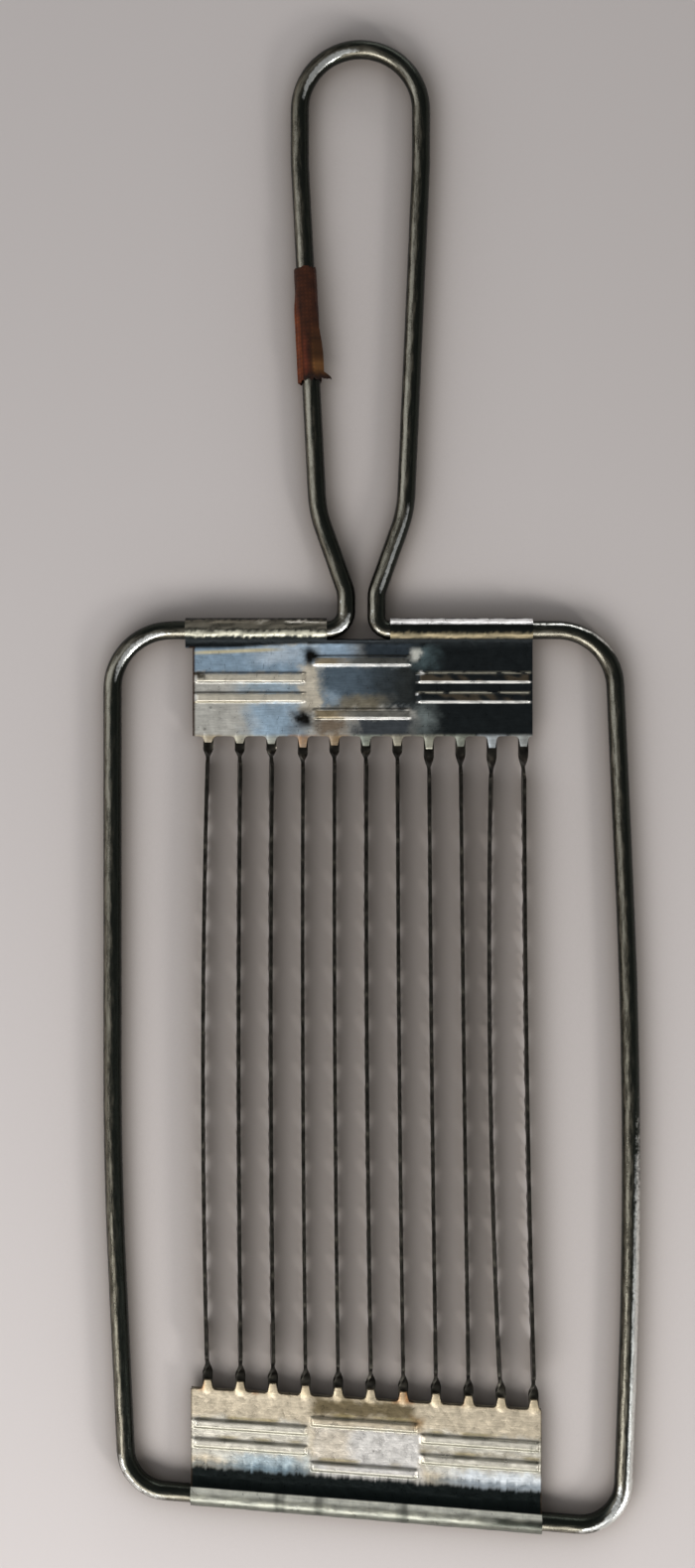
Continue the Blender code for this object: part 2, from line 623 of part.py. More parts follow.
wire_plating = make_material("dulled_wire_plating", (0.30, 0.31, 0.28), 0.32, 1.0)
sheet_plating = make_material("dulled_sheet_plating", (0.52, 0.52, 0.49), 0.30, 1.0)
blade_steel = make_material("dark_blade_steel", (0.10, 0.10, 0.09), 0.45, 1.0)
brown_tape = make_material("brown_cloth_tape", (0.13, 0.05, 0.025), 0.85, 0.0)

made = [
    make_wire(slicer, wire_plating),
    make_upper_header(slicer, sheet_plating),
    make_lower_header(slicer, sheet_plating),
]
for number, (top, bottom) in enumerate(blade_ends()):
    made.append(make_blade(
        f"blade_{number + 1:02d}", slicer, blade_steel, top, bottom,
        math.radians(BLADE_LEANS_DEGREES[number]), BLADE_BOW_SHARES[number] * UPPER_BLADE_PITCH,
        UPPER_TWIST_SHARES[number] * UPPER_TWIST_LENGTH,
        UPPER_TIPS[number] - TANG_STANDOFF, LOWER_TIPS[number] - TANG_STANDOFF))
made.append(make_tape(slicer, brown_tape))
set_on_origin(slicer, made)
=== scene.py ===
"""Looks of a hand slicer for tomatoes and boiled vegetables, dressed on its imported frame.

A bent wire handle and frame, two folded sheet headers, eleven serrated blades and a wound
tape. Shapes are worked out in millimetres from the point where the handle's centre line
crosses the upper bar, as the frame's own drawing is: x to the right, y towards the handle.
"""

import math

import bpy
import numpy as np
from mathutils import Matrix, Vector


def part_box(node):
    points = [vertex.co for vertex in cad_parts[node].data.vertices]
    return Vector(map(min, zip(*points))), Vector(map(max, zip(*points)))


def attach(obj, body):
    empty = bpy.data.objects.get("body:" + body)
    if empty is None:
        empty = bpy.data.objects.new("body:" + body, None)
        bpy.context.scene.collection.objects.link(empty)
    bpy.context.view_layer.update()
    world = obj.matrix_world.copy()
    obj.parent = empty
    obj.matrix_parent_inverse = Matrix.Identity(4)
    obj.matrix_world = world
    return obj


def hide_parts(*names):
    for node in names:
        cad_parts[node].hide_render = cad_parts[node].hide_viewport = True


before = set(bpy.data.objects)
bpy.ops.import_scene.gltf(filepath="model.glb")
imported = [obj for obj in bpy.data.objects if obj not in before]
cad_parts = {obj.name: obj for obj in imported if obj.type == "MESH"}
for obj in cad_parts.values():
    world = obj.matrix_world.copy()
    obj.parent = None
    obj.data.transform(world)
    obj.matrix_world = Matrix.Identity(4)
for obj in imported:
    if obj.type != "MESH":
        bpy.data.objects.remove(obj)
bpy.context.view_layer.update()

# Camera and studio
# The slicer lies on a pale laminate table and is seen from straight above, near its middle.
# Daylight comes in low past the frame's lower end, brightest from the lower right. A doorway
# behind the handle and the sky at the left fill the shade.

MM = 0.001
VIEW_HEIGHT = 316.7
VIEW_CENTRE = (-4.9, 0.62)
VIEW_DISTANCE = 390.0
MID_HEIGHT = 2.45
SENSOR = 36.0
BACKDROP = "#cfcac7"


def colour(code):
    """Linear RGB of an sRGB hex code: c / 12.92 below 0.04045, else ((c + 0.055) / 1.055) ^ 2.4."""
    parts = np.array([int(code[i:i + 2], 16) for i in (1, 3, 5)]) / 255
    return np.where(parts <= 0.04045, parts / 12.92, ((parts + 0.055) / 1.055) ** 2.4)


def paint(code):
    return (*(float(c) for c in colour(code)), 1.0)


def add_node(tree, kind, inputs=None, stops=None, **settings):
    """Adds a shader node; inputs are values or sockets to link, stops the marks of a colour ramp."""
    node = tree.nodes.new("ShaderNode" + kind)
    for key, value in settings.items():
        setattr(node, key, value)
    for key, value in (inputs or {}).items():
        if isinstance(value, bpy.types.NodeSocket):
            tree.links.new(value, node.inputs[key])
        else:
            node.inputs[key].default_value = value
    for number, (place, code) in enumerate(stops or []):
        marks = node.color_ramp.elements
        mark = marks[number] if number < 2 else marks.new(place)
        mark.position = place
        mark.color = paint(code)
    return node


def new_material(name):
    material = bpy.data.materials.new(name)
    material.use_nodes = True
    return material, material.node_tree, material.node_tree.nodes["Principled BSDF"]


camera_data = bpy.data.cameras.new("camera")
camera_data.sensor_width = SENSOR
camera_data.lens = SENSOR * VIEW_DISTANCE / VIEW_HEIGHT
camera_data.clip_start = 0.01
camera = bpy.data.objects.new("camera", camera_data)
bpy.context.scene.collection.objects.link(camera)
camera.location = (VIEW_CENTRE[0] * MM, VIEW_CENTRE[1] * MM, (VIEW_DISTANCE + MID_HEIGHT) * MM)
bpy.context.scene.camera = camera
bpy.context.scene.view_settings.view_transform = "Standard"

floor_mesh = bpy.data.meshes.new("floor")
floor_mesh.from_pydata([(-4, -4, 0), (4, -4, 0), (4, 4, 0), (-4, 4, 0)], [], [(0, 1, 2, 3)])
floor = bpy.data.objects.new("floor", floor_mesh)
bpy.context.scene.collection.objects.link(floor)
laminate, tree, shader = new_material("pale_laminate")
# Semi-matt laminate, with painted shade: an occlusion node darkens its colour close to what lies on it.
near_object = add_node(tree, "AmbientOcclusion", {"Distance": 0.025}, samples=12)
shade = add_node(tree, "ValToRGB", {"Fac": near_object.outputs["AO"]},
                 stops=[(0.45, "#8d847c"), (1.0, "#bbb4b0"), (0.8, "#a49c96")])
tree.links.new(shade.outputs["Color"], shader.inputs["Base Color"])
shader.inputs["Roughness"].default_value = 0.5
shader.inputs["Specular IOR Level"].default_value = 0.25
# Far from the object the floor passes into the pale backdrop, for the eye and for reflections.
place = add_node(tree, "TexCoord")
reach = add_node(tree, "VectorMath", {0: place.outputs["Object"]}, operation="LENGTH")
far = add_node(tree, "MapRange", {"Value": reach.outputs["Value"], "From Min": 0.3, "From Max": 0.6})
seen = add_node(tree, "LightPath")
looked_at = add_node(tree, "Math", {0: seen.outputs["Is Camera Ray"], 1: seen.outputs["Is Glossy Ray"]},
                     operation="MAXIMUM")
share = add_node(tree, "Math", {0: far.outputs["Result"], 1: looked_at.outputs[0]}, operation="MULTIPLY")
pale = add_node(tree, "Emission", {"Color": paint(BACKDROP)})
surface = add_node(tree, "MixShader", {0: share.outputs[0], 1: shader.outputs[0], 2: pale.outputs[0]})
tree.links.new(surface.outputs[0], tree.nodes["Material Output"].inputs["Surface"])
floor_mesh.materials.append(laminate)


def add_lamp(name, place, size, energy, tint="#ffffff", target=(0, 0, 0)):
    """A soft rectangular lamp facing its target; place and size in metres, energy in watts."""
    data = bpy.data.lights.new(name, "AREA")
    data.shape = "RECTANGLE"
    data.size, data.size_y = size
    data.energy = energy
    data.color = colour(tint)
    lamp = bpy.data.objects.new(name, data)
    bpy.context.scene.collection.objects.link(lamp)
    lamp.location = place
    aim = Vector(target) - Vector(place)
    lamp.rotation_mode = "QUATERNION"
    lamp.rotation_quaternion = aim.to_track_quat("-Z", "Y")


add_lamp("window_low", (-0.18, -0.48, 0.36), (0.7, 0.25), 3.9, "#fdfdff", (0, -0.05, 0))
add_lamp("window_bright", (0.55, -0.58, 0.36), (0.13, 0.13), 2.6)
add_lamp("doorway_behind", (0.25, 0.85, 0.25), (0.5, 0.12), 1.2)
add_lamp("sky_left", (-0.58, 0.15, 0.46), (0.3, 0.8), 1.3, "#eef4ff")

world = bpy.data.worlds.new("room")
world.use_nodes = True
bpy.context.scene.world = world
tree = world.node_tree
away = add_node(tree, "TexCoord")
side = add_node(tree, "VectorMath", {0: away.outputs["Generated"], 1: (-0.35, -0.55, 0.45)},
                operation="DOT_PRODUCT")
level = add_node(tree, "MapRange", {"Value": side.outputs["Value"], "From Min": -0.6, "From Max": 0.6,
                                    "To Min": 0.12, "To Max": 0.39})
light = tree.nodes["Background"]
light.inputs["Color"].default_value = paint("#f4f5f7")
tree.links.new(level.outputs["Result"], light.inputs["Strength"])
# The backdrop stands behind the table, up to a little over the horizon.
backdrop = add_node(tree, "Background", {"Color": paint(BACKDROP), "Strength": 1.0})
seen = add_node(tree, "LightPath")
looked_at = add_node(tree, "Math", {0: seen.outputs["Is Camera Ray"], 1: seen.outputs["Is Glossy Ray"]},
                     operation="MAXIMUM")
looked_at = add_node(tree, "Math", {0: looked_at.outputs[0], 1: seen.outputs["Is Transmission Ray"]},
                     operation="MAXIMUM")
parts = add_node(tree, "SeparateXYZ", {0: away.outputs["Generated"]})
low_down = add_node(tree, "MapRange", {"Value": parts.outputs["Z"], "From Min": 0.4, "From Max": 0.25})
share = add_node(tree, "Math", {0: looked_at.outputs[0], 1: low_down.outputs["Result"]},
                 operation="MULTIPLY")
either = add_node(tree, "MixShader", {0: share.outputs[0], 1: light.outputs[0], 2: backdrop.outputs[0]})
tree.links.new(either.outputs[0], tree.nodes["World Output"].inputs["Surface"])


# Frame wire
# One 3.7 mm drawn steel wire, bent by hand into the loop, neck, shoulders and frame. It is
# nickel plated and tarnished green-black, with a painted crest of light and painted shade on the flanks.

WIRE_RADIUS = 1.85
WIRE_END_GAP = 0.4
UPPER_LEFT_END = -35.3
CURL_OUTER = 2.45
WIRE_BENDS = [
    (-47.04, -173.16, 8.6), (-50.07, -108.4, 846.0), (-50.07, -0.68, 11.8), (-37.5, 0, 20.0),
    (-2.85, 0, 3.8), (-2.85, 7.6, 6.0), (-8.63, 24.0, 24.0), (-12.24, 94.2, 60.0),
    (-12.24, 117.24, 12.24), (12.24, 117.24, 12.24), (12.24, 94.2, 60.0), (9.13, 24.0, 24.0),
    (3.25, 7.6, 6.0), (3.25, 0, 2.6), (51.01, 0, 11.8), (55.69, -104.1, 1208.0),
    (52.76, -181.29, 8.6),
]
BAR_MIDDLE = np.array((1.15, -177.086))
BAR_SLOPE = -0.08146
WIRE_STEP = 0.9
WIRE_SIDES = 28

wire_low, wire_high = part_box("frame_wire")
header_low, header_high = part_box("upper_header")
ORIGIN = np.array((header_low.x / MM - UPPER_LEFT_END, header_high.y / MM - CURL_OUTER,
                   (wire_low.z + wire_high.z) / 2 / MM))


def smooth(value, low, high):
    """0 below low, 1 above high, and 3t^2 - 2t^3 of the share t in between."""
    share = np.clip((value - low) / (high - low), 0, 1)
    return share * share * (3 - 2 * share)


def within(value, low, high, soft):
    """1 between low and high, falling smoothly to 0 over soft on either side."""
    return smooth(value, low - soft, low + soft) * (1 - smooth(value, high - soft, high + soft))


def ripple(seed, size, *places):
    """Slow waves, mostly within -1 to 1: a quarter of the sum of eight sines in drawn directions."""
    draw = np.random.default_rng(seed)
    total = 0
    for _ in range(8):
        way = draw.normal(size=len(places)) * math.tau / size
        total = total + np.sin(sum(w * p for w, p in zip(way, places)) + draw.uniform(0, math.tau))
    return total / 4


def bent_line(ends, bends, step):
    """Evenly spaced points of a line whose corners are rounded by tangent arcs of given radii."""
    marks = [np.array(ends[0])] + [np.array(b[:2]) for b in bends] + [np.array(ends[1])]
    line = [marks[0][None]]
    for before, corner, after, bend in zip(marks, marks[1:], marks[2:], bends):
        back = (before - corner) / np.linalg.norm(before - corner)
        on = (after - corner) / np.linalg.norm(after - corner)
        half = math.acos(np.clip(back @ on, -1, 1)) / 2
        middle = (back + on) / np.linalg.norm(back + on)
        centre = corner + middle * bend[2] / math.sin(half)
        start = corner + back * bend[2] / math.tan(half) - centre
        turn = math.copysign(math.pi - 2 * half, back[1] * on[0] - back[0] * on[1])
        angle = turn * np.linspace(0, 1, 60)
        cos, sin = np.cos(angle), np.sin(angle)
        turned = (start[0] * cos - start[1] * sin, start[0] * sin + start[1] * cos)
        line.append(centre + np.stack(turned, 1))
    line = np.concatenate(line + [marks[-1][None]])
    run = np.concatenate(([0], np.cumsum(np.linalg.norm(np.diff(line, axis=0), axis=1))))
    keep = np.concatenate(([True], np.diff(run) > 1e-6))
    along = np.linspace(0, run[-1], int(run[-1] / step) + 1)
    return along, np.stack([np.interp(along, run[keep], line[keep, k]) for k in (0, 1)], 1)


def make_piece(name, corners, faces, material, sharp=None, **fields):
    """Mesh object from corner places in millimetres and quads; fields are values for each corner.

    The quads are turned round if together they enclose a negative volume, so that they face out.
    """
    places = np.asarray(corners, float).reshape(-1, 3)
    quads = np.asarray(faces).reshape(-1, 4)
    a, b, c, d = (places[quads[:, k]] for k in range(4))
    volume = (a * np.cross(b, c)).sum() + (a * np.cross(c, d)).sum()
    if volume < 0:
        quads = quads[:, ::-1]
    mesh = bpy.data.meshes.new(name)
    mesh.from_pydata((places + ORIGIN) * MM, [], quads)
    for key, values in fields.items():
        kind = {1: "FLOAT", 3: "FLOAT_VECTOR", 4: "FLOAT_COLOR"}[values.shape[-1]]
        word = {1: "value", 3: "vector", 4: "color"}[values.shape[-1]]
        layer = mesh.attributes.new(key, kind, "POINT")
        layer.data.foreach_set(word, np.ascontiguousarray(values, np.float32).ravel())
    mesh.shade_smooth()
    if sharp:
        mesh.set_sharp_from_angle(angle=math.radians(sharp))
    mesh.materials.append(material)
    piece = bpy.data.objects.new(name, mesh)
    bpy.context.scene.collection.objects.link(piece)
    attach(piece, "root")
    return piece


def tube_faces(rings, sides):
    """Quads between neighbouring rings of corners, with fans of quads over the two ends."""
    ring, side = np.meshgrid(np.arange(rings - 1), np.arange(sides), indexing="ij")
    here, beside = ring * sides + side, ring * sides + (side + 1) % sides
    faces = np.stack((here, beside, beside + sides, here + sides), -1).reshape(-1, 4)
    k = np.arange(sides // 2 - 1)
    cap = np.stack((k, sides - 1 - k, sides - 2 - k, k + 1), 1)
    return np.concatenate((faces, cap, cap[:, ::-1] + (rings - 1) * sides))


plated_wire, tree, shader = new_material("dulled_nickel_wire")
# Drawn wire keeps fine lines along its length. The nickel is green-black with tarnish; a painted
# crest of light makes it olive grey towards the window, and painted shade darkens the flanks.
# Bends are rubbed almost white, and painted glints lie where it turns to the bright lamp.
drawn = add_node(tree, "Attribute", attribute_name="drawn")
crest = add_node(tree, "Attribute", attribute_name="crest")
rubbed = add_node(tree, "Attribute", attribute_name="rubbed")
stretched = add_node(tree, "Mapping", {"Vector": drawn.outputs["Vector"], "Scale": (0.16, 1.0, 1.0)})
patches = add_node(tree, "TexNoise", {"Vector": stretched.outputs[0], "Scale": 1.5, "Detail": 5.0,
                                      "Roughness": 0.62})
lines_at = add_node(tree, "Mapping", {"Vector": drawn.outputs["Vector"], "Scale": (0.05, 1.0, 1.0)})
lines = add_node(tree, "TexNoise", {"Vector": lines_at.outputs[0], "Scale": 5.0, "Detail": 3.0})
spots = add_node(tree, "TexNoise", {"Vector": drawn.outputs["Vector"], "Scale": 1.1, "Detail": 4.0,
                                    "Roughness": 0.7})
uneven = add_node(tree, "MapRange", {"Value": patches.outputs["Fac"], "From Min": 0.3, "From Max": 0.7,
                                     "To Min": -0.34, "To Max": 0.34})
shown = add_node(tree, "Math", {0: crest.outputs["Fac"], 1: uneven.outputs[0]}, operation="ADD")
fine = add_node(tree, "MapRange", {"Value": lines.outputs["Fac"], "From Min": 0.35, "From Max": 0.65,
                                   "To Min": -0.06, "To Max": 0.06})
shown = add_node(tree, "Math", {0: shown.outputs[0], 1: fine.outputs[0]}, operation="ADD")
tarnish_and_painted_light = add_node(tree, "ValToRGB", {"Fac": shown.outputs[0]},
                   stops=[(0.2, "#2c2f2a"), (1.0, "#7d796c"), (0.45, "#3a3a33"), (0.7, "#5b574c")])
bare_and_glint = add_node(tree, "Math", {0: rubbed.outputs["Fac"], 1: spots.outputs["Fac"]}, operation="MULTIPLY")
bare_and_glint = add_node(tree, "MapRange", {"Value": bare_and_glint.outputs[0], "From Min": 0.30, "From Max": 0.55})
skin = add_node(tree, "Mix", {"Factor": bare_and_glint.outputs[0], "A": tarnish_and_painted_light.outputs[0], "B": paint("#d9dad5")},
                data_type="RGBA")
tree.links.new(skin.outputs["Result"], shader.inputs["Base Color"])
shader.inputs["Metallic"].default_value = 1.0
gloss = add_node(tree, "MapRange", {"Value": patches.outputs["Fac"], "From Min": 0.3, "From Max": 0.7,
                                    "To Min": 0.18, "To Max": 0.38})
tree.links.new(gloss.outputs[0], shader.inputs["Roughness"])
relief = add_node(tree, "Bump", {"Height": lines.outputs["Fac"], "Strength": 0.25, "Distance": 0.00008})
relief = add_node(tree, "Bump", {"Height": spots.outputs["Fac"], "Strength": 0.3, "Distance": 0.00012,
                                 "Normal": relief.outputs[0]})
tree.links.new(relief.outputs[0], shader.inputs["Normal"])

bar_way = np.array((1, BAR_SLOPE)) / math.hypot(1, BAR_SLOPE)
half_gap = bar_way * WIRE_END_GAP / 2
along, line = bent_line((BAR_MIDDLE - half_gap, BAR_MIDDLE + half_gap), WIRE_BENDS, WIRE_STEP)
way = np.gradient(line, axis=0)
way /= np.linalg.norm(way, axis=1)[:, None]
bend = np.linalg.norm(np.gradient(way, axis=0), axis=1) / WIRE_STEP
angle = np.arange(WIRE_SIDES) * math.tau / WIRE_SIDES
s, theta = np.meshgrid(along, angle, indexing="ij")
radius = WIRE_RADIUS + 0.015 * ripple(3, 9, s)
across = np.stack((way[:, 1], -way[:, 0], 0 * along), 1)[:, None]
out = across * np.cos(theta)[..., None] + np.array((0, 0, 1.0)) * np.sin(theta)[..., None]
corners = np.concatenate((line, 0 * line[:, :1]), 1)[:, None] + out * radius[..., None]
# Painted light: the crest is brightest where the surface leans a little to the window, it is paler again
# on the underside, and the flanks are darkened as painted shade.
lean = np.array((-0.52, -0.46, 0.9))
leaning = lean - (way @ lean[:2])[:, None] * np.concatenate((way, 0 * way[:, :1]), 1)
leaning /= np.linalg.norm(leaning, axis=1)[:, None]
off = np.degrees(np.arccos(np.clip((out * leaning[:, None]).sum(-1), -1, 1)))
under = np.degrees(np.arccos(np.clip(-out[..., 2], -1, 1)))
crest_share = np.maximum(1.05 - off / 50, 0.85 - under / 55).clip(0, 1)
# Bends and the low corners are rubbed pale, shown only on the painted crest of light.
low_corner = smooth(-corners[..., 1], 150, 176)
right_rail = smooth(corners[..., 0], 44, 50) * smooth(-corners[..., 1], 60, 150)
outer = smooth(out[..., 0], 0.0, 0.35)
on_bend = smooth(np.convolve(bend, np.ones(7) / 7, "same"), 0.03, 0.1)[:, None] + 0 * s
rub = np.clip(0.5 * low_corner + 0.6 * on_bend, 0, 1) * smooth(crest_share, 0.35, 0.85)
# Painted reflection: the outer side of the right rail is painted pale.
rub = np.maximum(rub, 1.5 * right_rail * outer)
# Painted highlight: pale bare-metal colour where the surface is turned to the bright light at the lower
# right.
glint_way = np.array((0.55, -0.6, 1.7))
glint = out @ (glint_way / np.linalg.norm(glint_way))
rub = np.maximum(rub, 1.5 * smooth(glint, 0.93, 0.985))
# Painted reflection: a pale line on the side of the right shoulder towards the doorway behind.
shoulder = smooth(corners[..., 0], 30, 34) * within(corners[..., 1], -14, 6, 3)
rub = np.maximum(rub, shoulder * within(out[..., 1], 0.4, 0.75, 0.12))
wire = make_piece("wire_bent", corners, tube_faces(len(along), WIRE_SIDES), plated_wire, 60,
                  drawn=np.stack((s, radius * np.cos(theta), radius * np.sin(theta)), -1),
                  crest=crest_share[..., None], rubbed=rub[..., None])
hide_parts("frame_wire")


# Upper header
# A strip of thin nickel-plated steel sheet, folded double and curled round the wire's upper
# bar. Ribs are crimped into it, and its comb edge ends in eleven tongues that pinch the blades.

SHEET = 0.5
LEAF_MIDDLE = 0.65
CURL_RADIUS = 2.2
VALLEY_RADIUS = 3.5
VALLEY_HEIGHT = LEAF_MIDDLE + VALLEY_RADIUS
VALLEY_OUT = math.sqrt((CURL_RADIUS + VALLEY_RADIUS) ** 2 - VALLEY_HEIGHT ** 2)
VALLEY_LEAVE = math.atan2(VALLEY_HEIGHT, VALLEY_OUT)
TONGUE_LENGTH = 2.1
UPPER_NOTCH = 21.4
UPPER_PITCH = 6.36
UPPER_TONGUES = 1.1 + UPPER_PITCH * (np.arange(11) - 5)
UPPER_TONGUE_TINTS = ("#bfae8c", "#c4bda4", "#b9b7a6", "#b08a63", "#a88d69", "#a9ad9c",
                      "#b8b09a", "#b5b3a0", "#a9ac9c", "#c3c8c8", "#b4b6b0")
UPPER_TONGUE_LENGTHS = TONGUE_LENGTH * np.array((0.62, 0.71, 0.76, 1.1, 0.9, 0.95, 0.95, 1.26,
                                                 1.02, 1.14, 1.02))
UPPER_ENDS = (UPPER_LEFT_END, UPPER_TONGUES[-1] + 1.8)
LEAF_LEFT = -33.8
NECK_SIDES = (-6.8, 6.0)
NECK_REACH = 2.0
FRONT, BACK = -1.0, 400.0


def comb_edge(along, tongues, notch, lengths):
    """Reach of the comb edge: tongue tips, slanting sides, round notch corners, notch roots."""
    off = np.abs(along[:, None] - tongues).min(axis=1)
    length = lengths[np.abs(along[:, None] - tongues).argmin(axis=1)]
    corner = 0.9 * (1 - np.sqrt(np.clip(1 - ((1.8 - off) / 0.9) ** 2, 0, 1)))
    side = 0.9 + (length - 0.9) * np.clip((0.9 - off) / 0.25, 0, 1)
    return notch + np.where(off > 1.8, 0, np.where(off > 0.9, corner, side))


def sheet_columns(ends, tongues, extra):
    """Places along the bar: even steps, closer at the sides of each tongue, and the given ones."""
    even = np.linspace(*ends, int((ends[1] - ends[0]) / 0.42))
    side = np.array((0.65, 0.9, 0.95, 1.2, 1.5, 1.75))
    near = (tongues[:, None] + np.concatenate((-side, side))).ravel()
    near = near[(near > ends[0]) & (near < ends[1])]
    fixed = np.concatenate((near, extra, ends))
    far = np.abs(even[:, None] - fixed).min(axis=1) > 0.16
    return np.unique(np.concatenate((even[far], fixed)))


def crimped(along, reach, spans):
    """Flat-topped ribs: 1 within half a rib's width of its line, with steep rounded sides."""
    total = 0 * along + 0 * reach
    for start, end, line in spans:
        total = np.maximum(total, within(along, start + 0.35, end - 0.35, 0.35)
                           * within(reach, line - 0.85, line + 0.85, 0.3))
    return total


def rib_walls(along, reach, spans):
    """Shares of the side wall of each rib nearer the bar, and of the one further out."""
    near = far = 0 * along
    for start, end, line in spans:
        run = within(along, start + 0.1, end - 0.1, 0.3)
        near = np.maximum(near, run * within(reach, line - 1.25, line - 0.85, 0.14))
        far = np.maximum(far, run * within(reach, line + 0.7, line + 1.05, 0.12))
    return near, far


def folded_sheet(columns, edge):
    """Middle surface, outward way and section place of a folded sheet, in rows by columns.

    A row runs along the bar. Rows go from the front comb edge over the leaf, up the valley arc,
    round the curl and back over the rear leaf; near the comb edge they gather to follow it. A
    row's section place is its angle in degrees on the curl, and FRONT or BACK elsewhere.
    """
    root = edge.min()
    flat = np.linspace(root - 0.5, VALLEY_OUT, 84)
    share = np.array((1, 0.97, 0.85, 0.7, 0.5, 0.3, 0.15))[:, None]
    gather = flat[0] + (edge - flat[0]) * share
    front = np.concatenate((gather, flat[:, None] + 0 * columns))
    back = front[np.concatenate((np.arange(7), np.arange(7, 91, 3)))][::-1]
    turn = np.linspace(-math.pi / 2, VALLEY_LEAVE - math.pi, 9)[1:-1]
    valley = np.stack((VALLEY_OUT + VALLEY_RADIUS * np.cos(turn),
                       VALLEY_HEIGHT + VALLEY_RADIUS * np.sin(turn)), 1)
    neck_height = VALLEY_HEIGHT - math.sqrt(VALLEY_RADIUS ** 2 - (VALLEY_OUT - NECK_REACH) ** 2)
    valley = np.concatenate((valley, [(NECK_REACH, neck_height)]))
    valley = valley[np.argsort(-valley[:, 0])]
    to_centre = (np.array((VALLEY_OUT, VALLEY_HEIGHT)) - valley) / VALLEY_RADIUS
    curl = np.linspace(VALLEY_LEAVE, math.tau - VALLEY_LEAVE, 38)
    around = np.stack((np.cos(curl), np.sin(curl)), 1)
    mirror = np.array((1, -1))
    arc = np.concatenate((valley, CURL_RADIUS * around, (valley * mirror)[::-1]))
    arc_way = np.concatenate((to_centre, around, (to_centre * mirror)[::-1]))
    reach = np.concatenate((front, arc[:, :1] + 0 * columns, back))
    height = np.concatenate((0 * front + LEAF_MIDDLE, arc[:, 1:] + 0 * columns, 0 * back - LEAF_MIDDLE))
    way = np.concatenate((np.tile((0.0, 1.0), (len(front), 1)), arc_way,
                          np.tile((0.0, -1.0), (len(back), 1))))
    place = np.concatenate((np.full(len(front) + len(valley), FRONT), np.degrees(curl),
                            np.full(len(valley) + len(back), BACK)))
    return reach, height, way, place


def shell_faces(rows, columns, kept):
    """Quads of an outer grid, the same quads reversed on an inner grid, and rims round every edge."""
    row, column = np.nonzero(kept)
    here = row * columns + column
    quads = np.stack((here, here + 1, here + 1 + columns, here + columns), 1)
    size = rows * columns
    starts = quads.ravel()
    ends = np.roll(quads, -1, axis=1).ravel()
    lone = ~np.isin(starts * size + ends, ends * size + starts)
    a, b = starts[lone], ends[lone]
    return np.concatenate((quads, quads[:, ::-1] + size, np.stack((b, a, a + size, b + size), 1)))


def sheet_piece(name, columns, edge, spans, cut, place_in, tint, material, wave_seed):
    """Folded header from its columns: two skins half a thickness off the middle surface.

    cut(along, reach, section) says which quads are missing; tint gives colours of outer corners.
    """
    reach, height, way, section = folded_sheet(columns, edge)
    along = columns + 0 * reach
    front, back = section[:, None] == FRONT, section[:, None] == BACK
    leaf = np.abs(way[:, 1:]) > 0.999
    ribs = crimped(along, reach, spans) * leaf
    off = np.abs(along[..., None] - place_in["tongues"]).min(axis=-1)
    pinch = 0.2 * smooth(reach, edge.min() - 1.2, edge.min() + 0.6) * (1 - (off / 1.0) ** 2).clip(0, 1)
    wave = 0.035 * ripple(wave_seed, 11, along, reach) * leaf * (1 - smooth(reach, 19, 22))
    ring = 0.03 * ripple(wave_seed + 1, 6, along, reach + 3 * height) * ~leaf
    thin = np.where(reach > edge - 0.05, 0.55, 1.0) * leaf + ~leaf
    sides = []
    for sign in (1, -1):
        shift = sign * SHEET / 2 * thin + ring
        outside = sign > 0
        lift = front * (wave + 0.1 * ribs + outside * (0.45 * ribs + pinch))
        lift = lift - back * (wave + outside * (pinch - 0.25 * ribs))
        sides.append(np.stack((along, reach + way[:, :1] * shift,
                               height + way[:, 1:] * shift + lift), -1))
    middle = (reach[:-1, :-1] + reach[1:, 1:]) / 2
    section_middle = ((section[:-1] + section[1:]) / 2)[:, None] + 0 * middle
    kept = ~cut((along[:-1, :-1] + along[1:, 1:]) / 2, middle, section_middle)
    outer, inner = sides
    stain, wear = tint(along, reach, section[:, None] + 0 * reach, ribs)
    flat = np.stack((along, reach, 0 * reach), -1)
    corners = np.concatenate([place_in["map"](side) for side in (outer, inner)])
    used = shell_faces(*reach.shape, kept)
    both = lambda field: np.concatenate((field, field))
    return make_piece(name, corners, used, material, 50, stain=both(stain), wear=both(wear),
                      flat=both(flat))


def layer(base, code, mask):
    """base moved towards a colour by the share mask, at each corner."""
    return base + (colour(code) - base) * mask[..., None]


def stained(tone, reach, along, zones):
    """tone under a layer for each zone: within its reaches, within its places, by its strength."""
    for code, low, high, soft, left, right, fade, share in zones:
        mask = within(reach, low, high, soft) * within(along, left, right, fade) * share
        tone = layer(tone, code, mask)
    return tone


def with_alpha(base):
    return np.concatenate((base.clip(0, 1), np.ones(base.shape[:-1] + (1,))), -1)


plated_sheet, tree, shader = new_material("dulled_nickel_sheet")
# Bright rolled sheet, nickel plated: fine rolling lines, pits and scuffs down to dark steel. Its mesh
# colours hold stains from years of juice and washing, tan to slate, with painted reflections and shade.
stain = add_node(tree, "Attribute", attribute_name="stain")
wear = add_node(tree, "Attribute", attribute_name="wear")
flat = add_node(tree, "Attribute", attribute_name="flat")
cloud = add_node(tree, "TexNoise", {"Vector": flat.outputs["Vector"], "Scale": 0.55, "Detail": 6.0,
                                    "Roughness": 0.65, "Distortion": 0.4})
shade = add_node(tree, "MapRange", {"Value": cloud.outputs["Fac"], "From Min": 0.3, "From Max": 0.7,
                                    "To Min": 0.84, "To Max": 1.14})
rolled_at = add_node(tree, "Mapping", {"Vector": flat.outputs["Vector"], "Scale": (0.12, 1.6, 1.0)})
rolled = add_node(tree, "TexNoise", {"Vector": rolled_at.outputs[0], "Scale": 2.2, "Detail": 4.0})
streak = add_node(tree, "MapRange", {"Value": rolled.outputs["Fac"], "From Min": 0.35, "From Max": 0.65,
                                     "To Min": 0.9, "To Max": 1.1})
